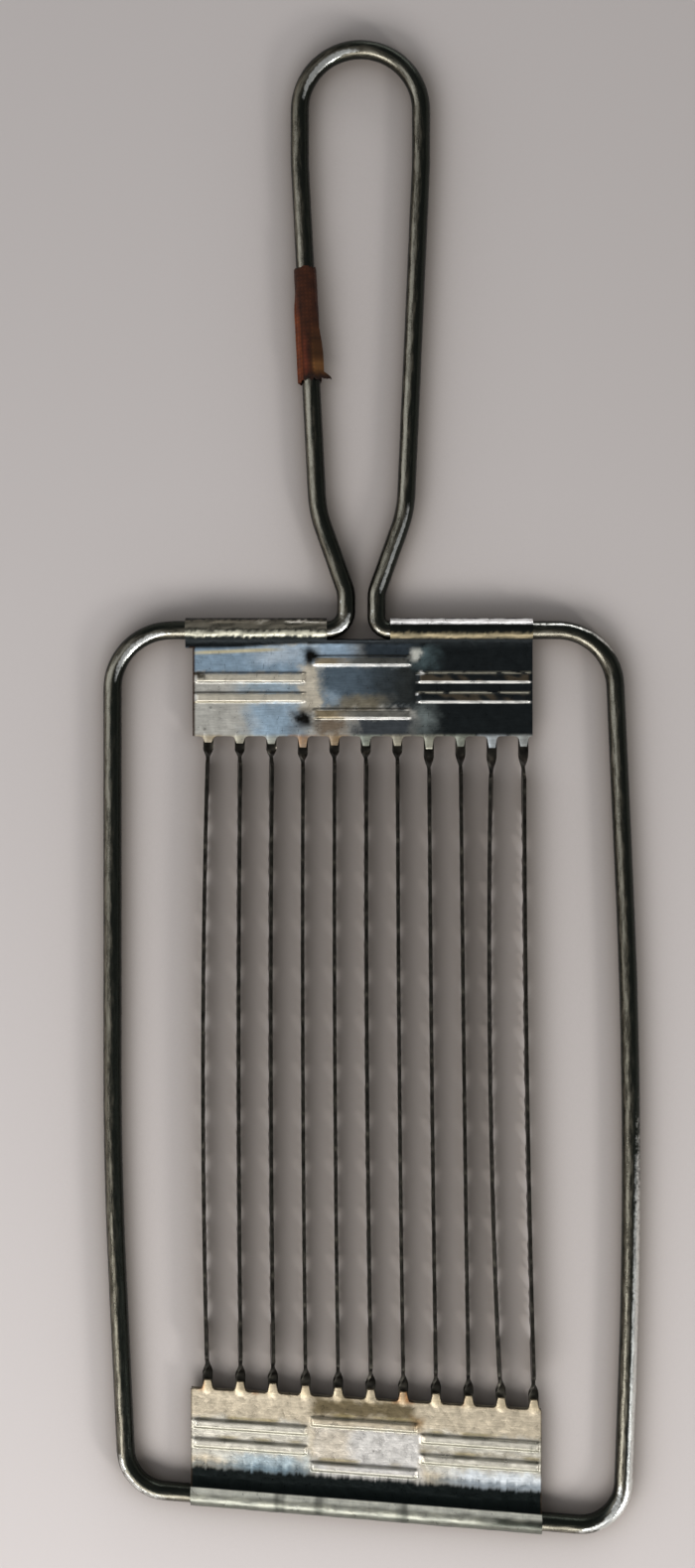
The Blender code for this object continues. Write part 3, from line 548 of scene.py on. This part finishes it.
level = add_node(tree, "Math", {0: shade.outputs[0], 1: streak.outputs[0]}, operation="MULTIPLY")
toned = add_node(tree, "VectorMath", {0: stain.outputs["Color"], "Scale": level.outputs[0]},
                 operation="SCALE")
pits = add_node(tree, "TexVoronoi", {"Vector": flat.outputs["Vector"], "Scale": 0.5, "Randomness": 1.0})
pit_size = add_node(tree, "MapRange", {"Value": pits.outputs["Color"], "From Min": 0.55, "From Max": 1.0,
                                       "To Min": 0.0, "To Max": 0.24})
pit = add_node(tree, "Math", {0: pits.outputs["Distance"], 1: pit_size.outputs[0]},
               operation="LESS_THAN")
scuff_at = add_node(tree, "Mapping", {"Vector": flat.outputs["Vector"], "Rotation": (0, 0, 0.9),
                                      "Scale": (2.4, 0.35, 1.0)})
scuffs = add_node(tree, "TexNoise", {"Vector": scuff_at.outputs[0], "Scale": 1.3, "Detail": 3.0})
scuff = add_node(tree, "MapRange", {"Value": scuffs.outputs["Fac"], "From Min": 0.66, "From Max": 0.70})
marked = add_node(tree, "Math", {0: pit.outputs[0], 1: scuff.outputs[0]}, operation="MAXIMUM")
marked = add_node(tree, "Math", {0: marked.outputs[0], 1: wear.outputs["Fac"]}, operation="MULTIPLY")
skin = add_node(tree, "Mix", {"Factor": marked.outputs[0], "A": toned.outputs[0], "B": paint("#2a2723")},
                data_type="RGBA")
tree.links.new(skin.outputs["Result"], shader.inputs["Base Color"])
shader.inputs["Metallic"].default_value = 0.6
shader.inputs["Specular IOR Level"].default_value = 0.15
gloss = add_node(tree, "MapRange", {"Value": cloud.outputs["Fac"], "From Min": 0.3, "From Max": 0.7,
                                    "To Min": 0.24, "To Max": 0.44})
tree.links.new(gloss.outputs[0], shader.inputs["Roughness"])
relief = add_node(tree, "Bump", {"Height": rolled.outputs["Fac"], "Strength": 0.2, "Distance": 0.00005})
relief = add_node(tree, "Bump", {"Height": cloud.outputs["Fac"], "Strength": 0.35, "Distance": 0.00025,
                                 "Normal": relief.outputs[0]})
relief = add_node(tree, "Bump", {"Height": pit.outputs[0], "Strength": 0.4, "Distance": 0.00008,
                                 "Normal": relief.outputs[0]}, invert=True)
tree.links.new(relief.outputs[0], shader.inputs["Normal"])


def upper_cut(along, reach, section):
    """The curl is open at the neck, and the leaf starts late on the left."""
    neck = (along > NECK_SIDES[0]) & (along < NECK_SIDES[1]) & (reach < NECK_REACH)
    return neck | ((along < LEAF_LEFT) & (reach > 3.6))


# Stains and painted reflections of the leaf, pale blue to the left and near black to the right:
# colour; reach from, to and its softness; place along the bar from, to and its softness; strength.
UPPER_STAINS_AND_REFLECTIONS = (
    ("#8fa4b4", 3.0, 8.7, 0.6, -35, -9.5, 1.5, 1.0),
    ("#dbe5ec", 3.4, 6.5, 1.2, -21, -12, 4.0, 0.6),
    ("#9fb0ba", 10.8, 12.8, 0.6, -24, -11, 4.0, 1.0),
    ("#a2b8c8", 14.6, 22.5, 1.0, -22.5, -12, 3.0, 1.0),
    ("#8797a3", 14.8, 17.5, 1.0, -19, -15, 2.0, 0.6),
    ("#555d64", 18.5, 21.5, 1.6, -15, -11.5, 2.0, 0.6),
    ("#d0c6b2", 6.5, 16.5, 1.0, -12.0, -8.0, 0.9, 1.0),
    ("#9fb4c5", 0, 6.6, 0.8, -9.6, -1, 3.0, 1.0),
    ("#343c42", 0, 7.0, 0.8, -1.25, 99, 3.75, 1.0),
    ("#596771", 7.0, 15.6, 0.7, -7.8, 12, 1.6, 1.0),
    ("#2f3231", 7.0, 15.6, 0.7, 2.5, 99, 6.5, 1.0),
    ("#9aaebd", 12.6, 15.2, 0.9, -7.4, -4.2, 1.2, 0.8),
    ("#857a62", 13.4, 16.4, 1.0, -5.0, 4.5, 3.0, 0.75),
    ("#705c45", 17.6, 21.6, 1.2, -9.6, -2.5, 1.6, 0.85),
    ("#44484b", 17.4, 23, 0.9, -1.5, 11, 2.0, 1.0),
    ("#1b1f20", 1.0, 24.5, 0.5, 10.5, 99, 1.9, 1.0),
    ("#8a9390", 15.6, 20.6, 2.0, 11.2, 14.6, 2.4, 0.75),
    ("#5f7072", 3.4, 7.8, 1.4, 11.0, 15.0, 2.6, 0.75),
)


def upper_tint(along, reach, section, ribs):
    """Colours of the upper header, zone by zone: stains with painted reflections, highlights and shade;
    and where pits and scuffs show.
    """
    grain = 0.18 * ripple(24, 0.7, along, reach)
    x = along + 0.9 * ripple(11, 6, along, reach) + 0.4 * ripple(16, 1.6, along, reach) + grain
    r = reach + 0.5 * ripple(12, 5, along, reach) + 0.3 * ripple(17, 1.5, along, reach) + grain
    near, far = rib_walls(along, reach, UPPER_RIBS)
    right_side, left_side = smooth(x, 8.6, 12.4), 1 - smooth(x, -12.4, -10.0)
    tone = np.ones(along.shape + (3,)) * colour("#bebbb1")
    # Painted reflections with stains, zone by zone.
    tone = stained(tone, r, x, UPPER_STAINS_AND_REFLECTIONS)
    pale_line = within(reach + 0.04 * along - 3.33, -0.35, 0.3, 0.22) * within(along, -33.6, -17, 3.0)
    tone = layer(tone, "#d6caa6", pale_line)
    # Rib tops follow the painted reflections: pale on the left, dark on the right.
    tops = smooth(ribs, 0.8, 1.0)
    tone = layer(tone, "#c6beab", tops * left_side * 0.9)
    tone = layer(tone, "#8c7b5c", tops * within(x, -10.5, -3, 2.5) * 0.9)
    tone = layer(tone, "#55544d", tops * within(x, -3, 10.5, 2.5) * 0.8)
    tone = layer(tone, "#4a4236", tops * right_side * smooth(ripple(18, 9, along, 2 * reach), -0.2, 0.4))
    # Painted shade on the near rib walls at the left and middle, and painted highlights on the near
    # walls at the right and on the far walls, broken here and there and dimmed in places.
    broken = smooth(ripple(19, 3.0, along, 3 * reach), -0.55, -0.2)
    dimmed_highlight = np.maximum(left_side * smooth(reach, 11.5, 12) * (1 - smooth(x, -22, -18)),
                      smooth(reach, 15.8, 16.2) * within(x, -11, -2.5, 0.8))
    tone = layer(tone, "#2c2a25", near * (1 - right_side) * 0.8)
    tone = layer(tone, "#a09c8c", near * right_side * broken)
    tone = layer(tone, "#8c897f", far * left_side * (0.5 + 0.5 * broken))
    tone = layer(tone, "#dcdad3", far * (1 - left_side) * (0.6 + 0.4 * broken))
    tone = layer(tone, "#7a725c", far * dimmed_highlight)
    # Painted shade on the leaf under the neck, and in the crease beside the curl.
    under_neck = within(along, -10.8, 7.8, 0.4) * (1 - smooth(reach, 2.6, 3.2))
    tone = layer(tone, "#15191b", under_neck)
    beside_neck = 1 - within(along, -9.6, 6.6, 1.0)
    crease = within(reach, 1.2, 3.7 - 0.9 * smooth(along, -30, -9), 0.35)
    tone = layer(tone, "#0e1213", crease * beside_neck)
    # Painted shade at the left ends of ribs, and painted highlights at rib ends just right of the middle
    # ribs.
    for place, size, code in (((-10.4, 5.4), 2.3, "#100f0c"), ((-11.2, 17.8), 2.4, "#100f0c"),
                              ((11.2, 5.1), 1.5, "#d9d8cc"), ((11.9, 8.7), 0.5, "#f2f0ea"),
                              ((11.9, 12.8), 0.5, "#f2f0ea"), ((-32.2, 9.2), 1.0, "#4a443a")):
        away = np.hypot(x - 0.7 * ripple(16, 1.6, along, reach) - place[0], reach - place[1])
        tone = layer(tone, code, 1 - smooth(away, 0.3 * size, 1.25 * size))
    tongue = smooth(reach, UPPER_NOTCH - 0.6, UPPER_NOTCH + 0.3)
    for place, code in zip(UPPER_TONGUES, UPPER_TONGUE_TINTS):
        mask = tongue * within(along, place - 3, place + 3, 0.3)
        tone = layer(tone, code, mask * (0.8 + 0.2 * ripple(13, 2, along, reach)))
    tone = layer(tone, "#3a2a20", within(along, LEAF_LEFT - 1, LEAF_LEFT + 0.5, 0.12) * (reach > 3.5))
    # Painted reflections on the curl: near black where it faces up; on the left a grey band and a pale
    # line on the side towards the handle and a cream band towards the leaf; on the right a white line
    # towards the handle and a tan band towards the leaf; plain grey underneath.
    curl = (section > 0) & (section < 360)
    level = 1.11 * reach + 0.22 * ripple(15, 2.2, along, 2 * reach) + 0.1 * ripple(20, 0.8, along)
    left = 1 - smooth(along, -7, 5)
    rubbed = smooth(ripple(22, 4, 0.4 * along, 3 * reach), -0.5, 0.5)
    bar = layer(np.ones(along.shape + (3,)) * colour("#141715"), "#7b7567",
                within(level, -1.95, -0.1, 0.3) * left * (0.45 + 0.55 * rubbed))
    bar = layer(bar, "#d9d5ca", within(level, -1.75, -1.3, 0.15) * within(along, -20, -8, 3.0)
                * left * rubbed)
    bar = layer(bar, "#c9c5b0", within(level, 0.35, 1.3, 0.3) * left * (0.5 + 0.5 * rubbed))
    bar = layer(bar, "#7d7259", within(level, 0.7, 1.9, 0.3) * (1 - left) * (0.55 + 0.45 * rubbed))
    steady = 1.11 * reach + 0.07 * ripple(15, 2.2, along)
    bar = layer(bar, "#f8f7f5", within(steady, -2.25, -1.1, 0.12) * (1 - left))
    bar = layer(bar, "#4a4a42", smooth(section, 175, 200))
    tone = np.where(curl[..., None], bar, tone)
    tone = layer(tone, "#6d6c66", (section >= 360) * 0.6)
    return with_alpha(tone), np.where(curl, 0.15, 0.4)[..., None]


UPPER_RIBS = [(LEAF_LEFT + 0.3, -10.9, 9.7), (LEAF_LEFT + 0.3, -10.9, 13.7),
              (-9.7, 10.3, 6.3), (-9.7, 10.3, 17.0),
              (11.5, UPPER_ENDS[1] - 0.3, 9.7), (11.5, UPPER_ENDS[1] - 0.3, 13.7)]
columns = sheet_columns(UPPER_ENDS, UPPER_TONGUES, (LEAF_LEFT, *NECK_SIDES, -10.9, -10.55, 11.5, 11.85))
edge = comb_edge(columns, UPPER_TONGUES, UPPER_NOTCH, UPPER_TONGUE_LENGTHS)
upper_map = lambda at: np.stack((at[..., 0], -at[..., 1], at[..., 2]), -1)
upper = sheet_piece("header_top_folded", columns, edge, UPPER_RIBS, upper_cut,
                    {"tongues": UPPER_TONGUES, "map": upper_map}, upper_tint, plated_sheet, 21)
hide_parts("upper_header")


# Lower header
# The same folded sheet on the sloping lower bar, with its comb edge upwards. It faces the
# window and is painted the paler of the two, cream at the sides and olive at the comb, stains and
# painted reflections together.

LOWER_NOTCH = 21.9
LOWER_PITCH = 6.58
LOWER_TONGUES = 0.92 + LOWER_PITCH * (np.arange(11) - 5)
LOWER_ENDS = (LOWER_TONGUES[0] - 3.35, LOWER_TONGUES[-1] + 1.55)
LOWER_FAN = 1.24 / (LOWER_ENDS[1] - LOWER_ENDS[0]) / LOWER_NOTCH


def lower_map(at):
    """The bar's slope shears the header, and reach grows a little to the right."""
    x, reach = at[..., 0], at[..., 1]
    y = reach * (1 + LOWER_FAN * x) + BAR_SLOPE * x
    return np.stack((x + BAR_MIDDLE[0], y + BAR_MIDDLE[1], at[..., 2]), -1)


# Stains and painted reflections of the leaf, in the same order as the upper header's.
LOWER_STAINS_AND_REFLECTIONS = (
    ("#c8c4bd", 4, 16.0, 1.0, -10.5, 11, 1.4, 1.0),
    ("#bfb29b", 8.5, 16.0, 1.5, -10.5, -3.5, 2.0, 0.7),
    ("#c6c2b5", 8, 16.4, 0.8, -99, -11.75, 0.75, 0.8),
    ("#c6c2b5", 8, 16.4, 0.8, 11.75, 99, 0.75, 0.8),
    ("#9aa7ab", 4.5, 9.4, 1.2, -27, -12, 5.0, 1.0),
    ("#d3d9dc", 4.5, 9.2, 1.2, 17, 99, 5.0, 0.9),
    ("#5d5137", 18.2, 21.9, 1.1, -10.8, 10.0, 1.6, 0.92),
    ("#8d6f48", 17.2, 19, 1.0, 8.5, 11.6, 1.2, 0.8),
    ("#8a7e66", 12.2, 13.0, 0.3, 12, 33, 3.0, 0.35),
)


def lower_tint(along, reach, section, ribs):
    """Colours of the lower header, zone by zone: stains with painted reflections, highlights and shade;
    and where pits and scuffs show.
    """
    x = along + 0.9 * ripple(31, 6, along, reach) + 0.3 * ripple(36, 1.6, along, reach)
    r = reach + 0.5 * ripple(32, 5, along, reach) + 0.25 * ripple(37, 1.5, along, reach)
    near, far = rib_walls(along, reach, LOWER_RIBS)
    streak = 0.45 * ripple(38, 0.9, along) + 0.4 * ripple(39, 2.6, along)
    tone = np.ones(along.shape + (3,)) * colour("#c1b49c")
    # Painted reflections with stains, zone by zone.
    tone = stained(tone, r, x, LOWER_STAINS_AND_REFLECTIONS)
    smear = smooth(ripple(40, 9, along, reach), -0.3, 0.5)
    # Painted shade on the rib walls, darkest on the far walls, and a patchy tan band just beyond each
    # rib.
    over = facing = 0 * along
    for start, end, line in LOWER_RIBS:
        over = np.maximum(over, within(along, start, end, 0.6)
                          * within(reach, line + 1.1, line + 1.8, 0.35))
        facing = np.maximum(facing, within(along, start, end, 0.4)
                            * within(reach, line - 1.3, line - 0.3, 0.25))
    tone = layer(tone, "#8f8158", over * smear * 0.75)
    tone = layer(tone, "#3f4036", far * (0.75 + 0.25 * smear))
    tone = layer(tone, "#8b8878", facing * 0.75)
    tone = layer(tone, "#57574c", near * (0.3 + 0.3 * smear))
    # Painted shade in the crease along the curl, with a dark blue band at the sides beyond it.
    tone = layer(tone, "#0b1110", within(reach + 0.6 * streak, -2, 6.2, 0.7))
    tone = layer(tone, "#2f4a58", within(reach + 0.8 * streak, 6.1, 7.3, 0.6)
                 * smooth(np.abs(x), 10, 14) * 0.6)
    tongue = smooth(reach, LOWER_NOTCH - 0.9, LOWER_NOTCH + 0.6)
    tone = layer(tone, "#b9a98a", tongue * (0.7 + 0.3 * ripple(33, 4, along)))
    tone = layer(tone, "#a06a38", tongue * smooth(ripple(34, 9, along), 0.3, 0.7) * 0.8)
    half = (LOWER_ENDS[1] - LOWER_ENDS[0]) / 2
    tone = layer(tone, "#3a2f24", smooth(np.abs(along - LOWER_ENDS[0] - half), half - 0.35, half) * 0.9)
    curl = (section > 0) & (section < 360)
    blotch = ripple(35, 9, along, 5 * reach) + 0.5 * ripple(43, 2.5, along, 3 * reach)
    tall = ripple(42, 7, along) + 0.5 * ripple(44, 2.5, along)
    level = 1.11 * reach + 0.12 * blotch
    # Painted reflections and shade on the curl: grey with pale patches, cream and a white line towards
    # the leaf, painted shade into the crease, darker on the outer side and at its outer edge, dark
    # patches on the right and here and there; plain grey underneath.
    bar = np.ones(along.shape + (3,)) * colour("#85857a")
    bar = layer(bar, "#a09f90", smooth(blotch, -0.5, 0.9) * smooth(level, -1.2, 0.2))
    bar = layer(bar, "#e6e5d6", smooth(level, 0.6, 1.3))
    bar = layer(bar, "#3d4037", smooth(-level, 0.1, 1.5) * 0.6)
    bar = layer(bar, "#1d221b", smooth(along + 2 * blotch, 20, 28) * within(level, -0.8, 0.7, 0.4) * 0.9)
    bar = layer(bar, "#2b2e27", smooth(-tall, 0.45, 1.1) * 0.6)
    bar = layer(bar, "#f6f6f0", within(level, 1.9, 2.35, 0.12) * (0.5 + 0.5 * smooth(tall, -0.5, 0.3)))
    bar = layer(bar, "#0d1312", smooth(level, 2.4, 2.6))
    bar = layer(bar, "#1c1f1b", smooth(-level, 1.8, 2.3))
    bar = layer(bar, "#4a4a42", smooth(section, 175, 200))
    tone = np.where(curl[..., None], bar, tone)
    tone = layer(tone, "#6d6c66", (section >= 360) * 0.6)
    worn = 0.06 + 0.8 * within(x, 1, 9, 2.0) * within(r, 9, 16, 1.5)
    return with_alpha(tone), np.where(curl, 0.2, worn)[..., None]


LOWER_RIBS = [(LOWER_ENDS[0] + 0.3, -11.8, 10.9), (LOWER_ENDS[0] + 0.3, -11.8, 14.9),
              (-11.4, 10.4, 7.8), (-11.4, 10.4, 16.9),
              (10.8, LOWER_ENDS[1] - 0.3, 10.9), (10.8, LOWER_ENDS[1] - 0.3, 14.9)]
columns = sheet_columns(LOWER_ENDS, LOWER_TONGUES, (-11.8, -11.45, 10.8, 11.15))
edge = comb_edge(columns, LOWER_TONGUES, LOWER_NOTCH, TONGUE_LENGTH + 0 * LOWER_TONGUES)
lower = sheet_piece("header_low_folded", columns, edge, LOWER_RIBS,
                    lambda along, reach, section: np.zeros(along.shape, bool),
                    {"tongues": LOWER_TONGUES, "map": lower_map}, lower_tint, plated_sheet, 23)
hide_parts("lower_header")


# Blades
# Eleven strips of thin blade steel, serrated on one edge in a pattern of two small gullets and
# a wide one. Each ends in a flat tang between the leaves, with a quarter twist just outside.

BLADE = 0.7
TANG_WIDTH = 2.0
BLADE_WIDTH = 4.6
TANG_RUN = 16.0
UPPER_TWISTS = 2.2 * np.array((1.45, 1.45, 1.45, 1.45, 1.3, 1.3, 1.3, 2.0, 2.0, 2.35, 2.45))
LOWER_TWIST = 3.6
SHOULDER = 1.2
PLAIN_END = 2.4
GULLETS = ((2.66, 0.8), (2.66, 0.8), (4.4, 1.3))
LEANS = (1.0, 8.0, 8.0, 3.0, 2.0, 4.0, 1.0, 0.5, -1.0, -8.5, 2.0)
BOWS = (0.15, 0.07, 0.07, 0.05, 0.05, 0.06, 0.04, 0.03, 0.02, 0.18, 0.08)

blade_steel, tree, shader = new_material("dark_blade_steel")
# Rolled carbon steel, darkened by use: near black on its flanks, with the lengthwise lines of
# grinding and a thin bright line where the serrated edge was ground.
strip = add_node(tree, "Attribute", attribute_name="strip")
ground = add_node(tree, "Attribute", attribute_name="ground")
lines_at = add_node(tree, "Mapping", {"Vector": strip.outputs["Vector"], "Scale": (0.08, 1.0, 1.0)})
lines = add_node(tree, "TexNoise", {"Vector": lines_at.outputs[0], "Scale": 4.0, "Detail": 4.0})
cloud = add_node(tree, "TexNoise", {"Vector": strip.outputs["Vector"], "Scale": 0.5, "Detail": 5.0})
dark = add_node(tree, "ValToRGB", {"Fac": cloud.outputs["Fac"]},
                stops=[(0.3, "#1b1a17"), (0.72, "#57534a"), (0.55, "#33312c")])
share = add_node(tree, "Math", {0: ground.outputs["Fac"], 1: lines.outputs["Fac"]}, operation="MULTIPLY")
share = add_node(tree, "MapRange", {"Value": share.outputs[0], "From Min": 0.2, "From Max": 0.6})
skin = add_node(tree, "Mix", {"Factor": share.outputs[0], "A": dark.outputs[0], "B": paint("#a8a69e")},
                data_type="RGBA")
tree.links.new(skin.outputs["Result"], shader.inputs["Base Color"])
shader.inputs["Metallic"].default_value = 1.0
gloss = add_node(tree, "MapRange", {"Value": lines.outputs["Fac"], "From Min": 0.3, "From Max": 0.7,
                                    "To Min": 0.3, "To Max": 0.5})
tree.links.new(gloss.outputs[0], shader.inputs["Roughness"])
relief = add_node(tree, "Bump", {"Height": lines.outputs["Fac"], "Strength": 0.25, "Distance": 0.00005})
tree.links.new(relief.outputs[0], shader.inputs["Normal"])


def gullet_depth(along, length, twists):
    """Depth of the serrated edge: 1 - |2t - 1|^2.4 of each gullet's depth over its width."""
    period = sum(width for width, _ in GULLETS)
    first = twists[0] + SHOULDER + PLAIN_END
    last = length - twists[1] - SHOULDER - PLAIN_END
    count = int((last - first) / period)
    first += (last - first - count * period) / 2
    at = (along - first) % period
    depth, start = 0 * along, 0
    for width, deep in GULLETS:
        share = (at - start) / width
        inside = (share >= 0) & (share < 1)
        depth = depth + np.where(inside, deep * (1 - np.abs(2 * share - 1) ** 2.4), 0)
        start += width
    return depth * (along > first) * (along < first + count * period)


def blade_piece(number, top, bottom):
    """A strip swept from tongue to tongue: its section turns a quarter in each twist and widens."""
    twists = (UPPER_TWISTS[number], LOWER_TWIST)
    run = bottom - top
    length = np.linalg.norm(run)
    down, right = run / length, np.array((-run[1], run[0])) / length
    a = np.concatenate((np.linspace(-TANG_RUN, -0.4, 5), np.linspace(0, length, int(length / 0.33)),
                        np.linspace(length + 0.4, length + TANG_RUN, 5)))
    near = np.minimum(a / twists[0], (length - a) / twists[1])
    turn = (math.pi / 2 + math.radians(LEANS[number])) * smooth(near, 0, 1)
    widen = np.minimum(smooth(a, twists[0], twists[0] + SHOULDER),
                       smooth(length - a, twists[1], twists[1] + SHOULDER))
    half = (TANG_WIDTH + (BLADE_WIDTH - TANG_WIDTH) * widen) / 2
    depth = gullet_depth(a, length, twists) * widen
    share = (a / length).clip(0, 1)
    bow = 4 * BOWS[number] * UPPER_PITCH * share * (1 - share)
    t, round_off = BLADE / 2, 0.06
    bevel = (0.3 + 1.2 * widen) + 0.4 * depth
    edge = 0.28 - 0.2 * widen
    one = 1 + 0 * a
    section = [
        (half - round_off, t * one), (half, (t - round_off) * one), (half, -(t - round_off) * one),
        (half - round_off, -t * one), (-half + bevel + depth, -t * one),
        (-half + depth + 0.06, -edge - 0.01), (-half + depth, -edge), (-half + depth, edge),
        (-half + depth + 0.06, edge + 0.01), (-half + bevel + depth, t * one),
    ]
    reach = np.stack([r for r, _ in section], 1)
    across = np.stack([c for _, c in section], 1)
    cos, sin = np.cos(turn)[:, None], np.sin(turn)[:, None]
    sideways = bow[:, None] + reach * cos - across * sin
    height = reach * sin + across * cos
    flat = top + down * a[:, None, None] + (-right) * sideways[..., None]
    corners = np.concatenate((flat, height[..., None]), -1)
    ground_at = np.array((0, 0, 0, 0, 0.15, 1, 1, 1, 1, 0.15)) * widen[:, None]
    strip_at = np.stack((a[:, None] + 31 * number + 0 * reach, reach, across), -1)
    return make_piece(f"serrated_strip_{number + 1:02d}", corners, tube_faces(len(a), len(section)),
                      blade_steel, 35, ground=ground_at[..., None], strip=strip_at)


tips = np.stack((LOWER_TONGUES, 0 * LOWER_TONGUES + LOWER_NOTCH + TONGUE_LENGTH, 0 * LOWER_TONGUES), -1)
tips = lower_map(tips)[:, :2]
for number in range(11):
    top = np.array((UPPER_TONGUES[number], -UPPER_NOTCH - UPPER_TONGUE_LENGTHS[number]))
    strip_piece = blade_piece(number, top, tips[number])
    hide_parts(f"blade_{number + 1:02d}")


# Handle tape
# A scrap of old brown cloth tape, wound about twice round the left leg of the handle and stuck
# to itself. Its upper layer has slid, its ends are frayed, and its lower right corner is loose.

LEG_TOP = np.array((-12.24, 94.2))
LEG_FOOT = np.array((-8.63, 24.0))
TAPE_TOP = 72.7
TAPE_LENGTH = 22.4
TAPE_LAYER = 0.16
TAPE_INNER = 2.02
TAPE_TURNS = 1.75
TAPE_LEAVES = math.radians(62)

cloth, tree, shader = new_material("brown_cloth_tape")
# Rubber-coated cotton tape: a plain weave that shows through, dry and dull, darkened by hands
# and orange-brown where the old layer is exposed. Real threads are 0.25 mm apart, drawn at 0.4.
wound = add_node(tree, "Attribute", attribute_name="wound")
dye = add_node(tree, "Attribute", attribute_name="dye")
warp = add_node(tree, "TexWave", {"Vector": wound.outputs["Vector"], "Scale": 0.4, "Distortion": 0.6,
                                  "Detail": 1.0}, bands_direction="X")
weft = add_node(tree, "TexWave", {"Vector": wound.outputs["Vector"], "Scale": 0.4, "Distortion": 0.6,
                                  "Detail": 1.0}, bands_direction="Y")
weave = add_node(tree, "Math", {0: warp.outputs["Fac"], 1: weft.outputs["Fac"]}, operation="MULTIPLY")
grime = add_node(tree, "TexNoise", {"Vector": wound.outputs["Vector"], "Scale": 0.45, "Detail": 6.0})
shade = add_node(tree, "MapRange", {"Value": grime.outputs["Fac"], "From Min": 0.3, "From Max": 0.7,
                                    "To Min": 0.6, "To Max": 1.4})
thread = add_node(tree, "MapRange", {"Value": weave.outputs[0], "To Min": 0.8, "To Max": 1.15})
level = add_node(tree, "Math", {0: shade.outputs[0], 1: thread.outputs[0]}, operation="MULTIPLY")
toned = add_node(tree, "VectorMath", {0: dye.outputs["Color"], "Scale": level.outputs[0]},
                 operation="SCALE")
tree.links.new(toned.outputs[0], shader.inputs["Base Color"])
shader.inputs["Roughness"].default_value = 0.85
shader.inputs["Specular IOR Level"].default_value = 0.15
shader.inputs["Sheen Weight"].default_value = 0.05
relief = add_node(tree, "Bump", {"Height": weave.outputs[0], "Strength": 0.5, "Distance": 0.00008})
relief = add_node(tree, "Bump", {"Height": grime.outputs["Fac"], "Strength": 0.4, "Distance": 0.0003,
                                 "Normal": relief.outputs[0]})
tree.links.new(relief.outputs[0], shader.inputs["Normal"])

# The tape's middle surface is a spiral round the leg, whose last part leaves it along a tangent
# and reaches further out towards the lower end. The skins lie half a layer to either side.
down = (LEG_FOOT - LEG_TOP) / np.linalg.norm(LEG_FOOT - LEG_TOP)
right = np.array((-down[1], down[0]))
start = LEG_TOP + down * ((LEG_TOP[1] - TAPE_TOP) / -down[1])
s, u = np.meshgrid(np.linspace(0, 1, 84), np.linspace(0, 1, 130), indexing="ij")
turns = u * 1.12
spiral = turns.clip(0, 1)
free = (turns - 1).clip(0, None) / 0.12
theta = TAPE_LEAVES + math.tau * TAPE_TURNS * (1 - spiral)
fray = 0.35 * ripple(41, 3.0, u * 40) + 0.25 * ripple(42, 1.1, u * 40)
along = s * TAPE_LENGTH + np.where(s > 0.5, fray, 0.6 * fray) * np.abs(2 * s - 1) ** 3
along += 0.55 * within(np.degrees(theta) % 360, 150, 215, 10) * (spiral > 0.45) * s
radius = TAPE_INNER + TAPE_LAYER * TAPE_TURNS * spiral + 0.05 * ripple(43, 7, along, theta * 2)
radius += 0.35 * within(np.degrees(theta) % 360, 172, 192, 9) * smooth(s, 0.15, 0.35) * (spiral > 0.43)
length = 0.35 + 1.5 * smooth(s, 0.2, 0.8) + 1.6 * smooth(s, 0.93, 0.985)
droop = 0.35 * (free * length) ** 2 / 6
tangent = np.array((math.sin(TAPE_LEAVES), -math.cos(TAPE_LEAVES)))
out = radius * np.cos(theta) + tangent[0] * free * length
up = radius * np.sin(theta) + tangent[1] * free * length
up += 0.25 * free * ripple(44, 6, along) - droop * 0.4
place = start + down * along[..., None] + right * out[..., None]
middle = np.concatenate((place, up[..., None]), -1)
normal = np.cross(np.gradient(middle, axis=0), np.gradient(middle, axis=1))
normal /= np.linalg.norm(normal, axis=-1)[..., None]
corners = np.concatenate((middle + normal * TAPE_LAYER / 2, middle - normal * TAPE_LAYER / 2))
turned_to = np.degrees(theta) % 360
dyed = np.ones(along.shape + (3,)) * colour("#35190a")
dyed = layer(dyed, "#5c2a0e", within(turned_to, 128 + 14 * (1 - s), 205, 7) * smooth(s, 0.1, 0.45))
dyed = layer(dyed, "#5c2a18", within(turned_to, 100, 124, 8) * smooth(s, 0.5, 0.75) * 0.7)
dyed = layer(dyed, "#44280f", smooth(s, 0.4, 0.8) * within(turned_to, 0, 80, 12))
dyed = layer(dyed, "#6f4a26", within(s, 0.84, 0.93, 0.04) * within(turned_to, 35, 75, 10) * 0.8)
dyed = layer(dyed, "#23130b", smooth(s, 0.94, 0.99) * (1 - 0.7 * within(turned_to, 130, 205, 7)))
both = lambda field: np.concatenate((field, field))
kept = np.ones((s.shape[0] - 1, s.shape[1] - 1), bool)
tape = make_piece("tape_wound", corners, shell_faces(*s.shape, kept), cloth, 50,
                  wound=both(np.stack((theta * 2.2, along, 0 * along), -1)), dye=both(with_alpha(dyed)))
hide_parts("handle_tape")
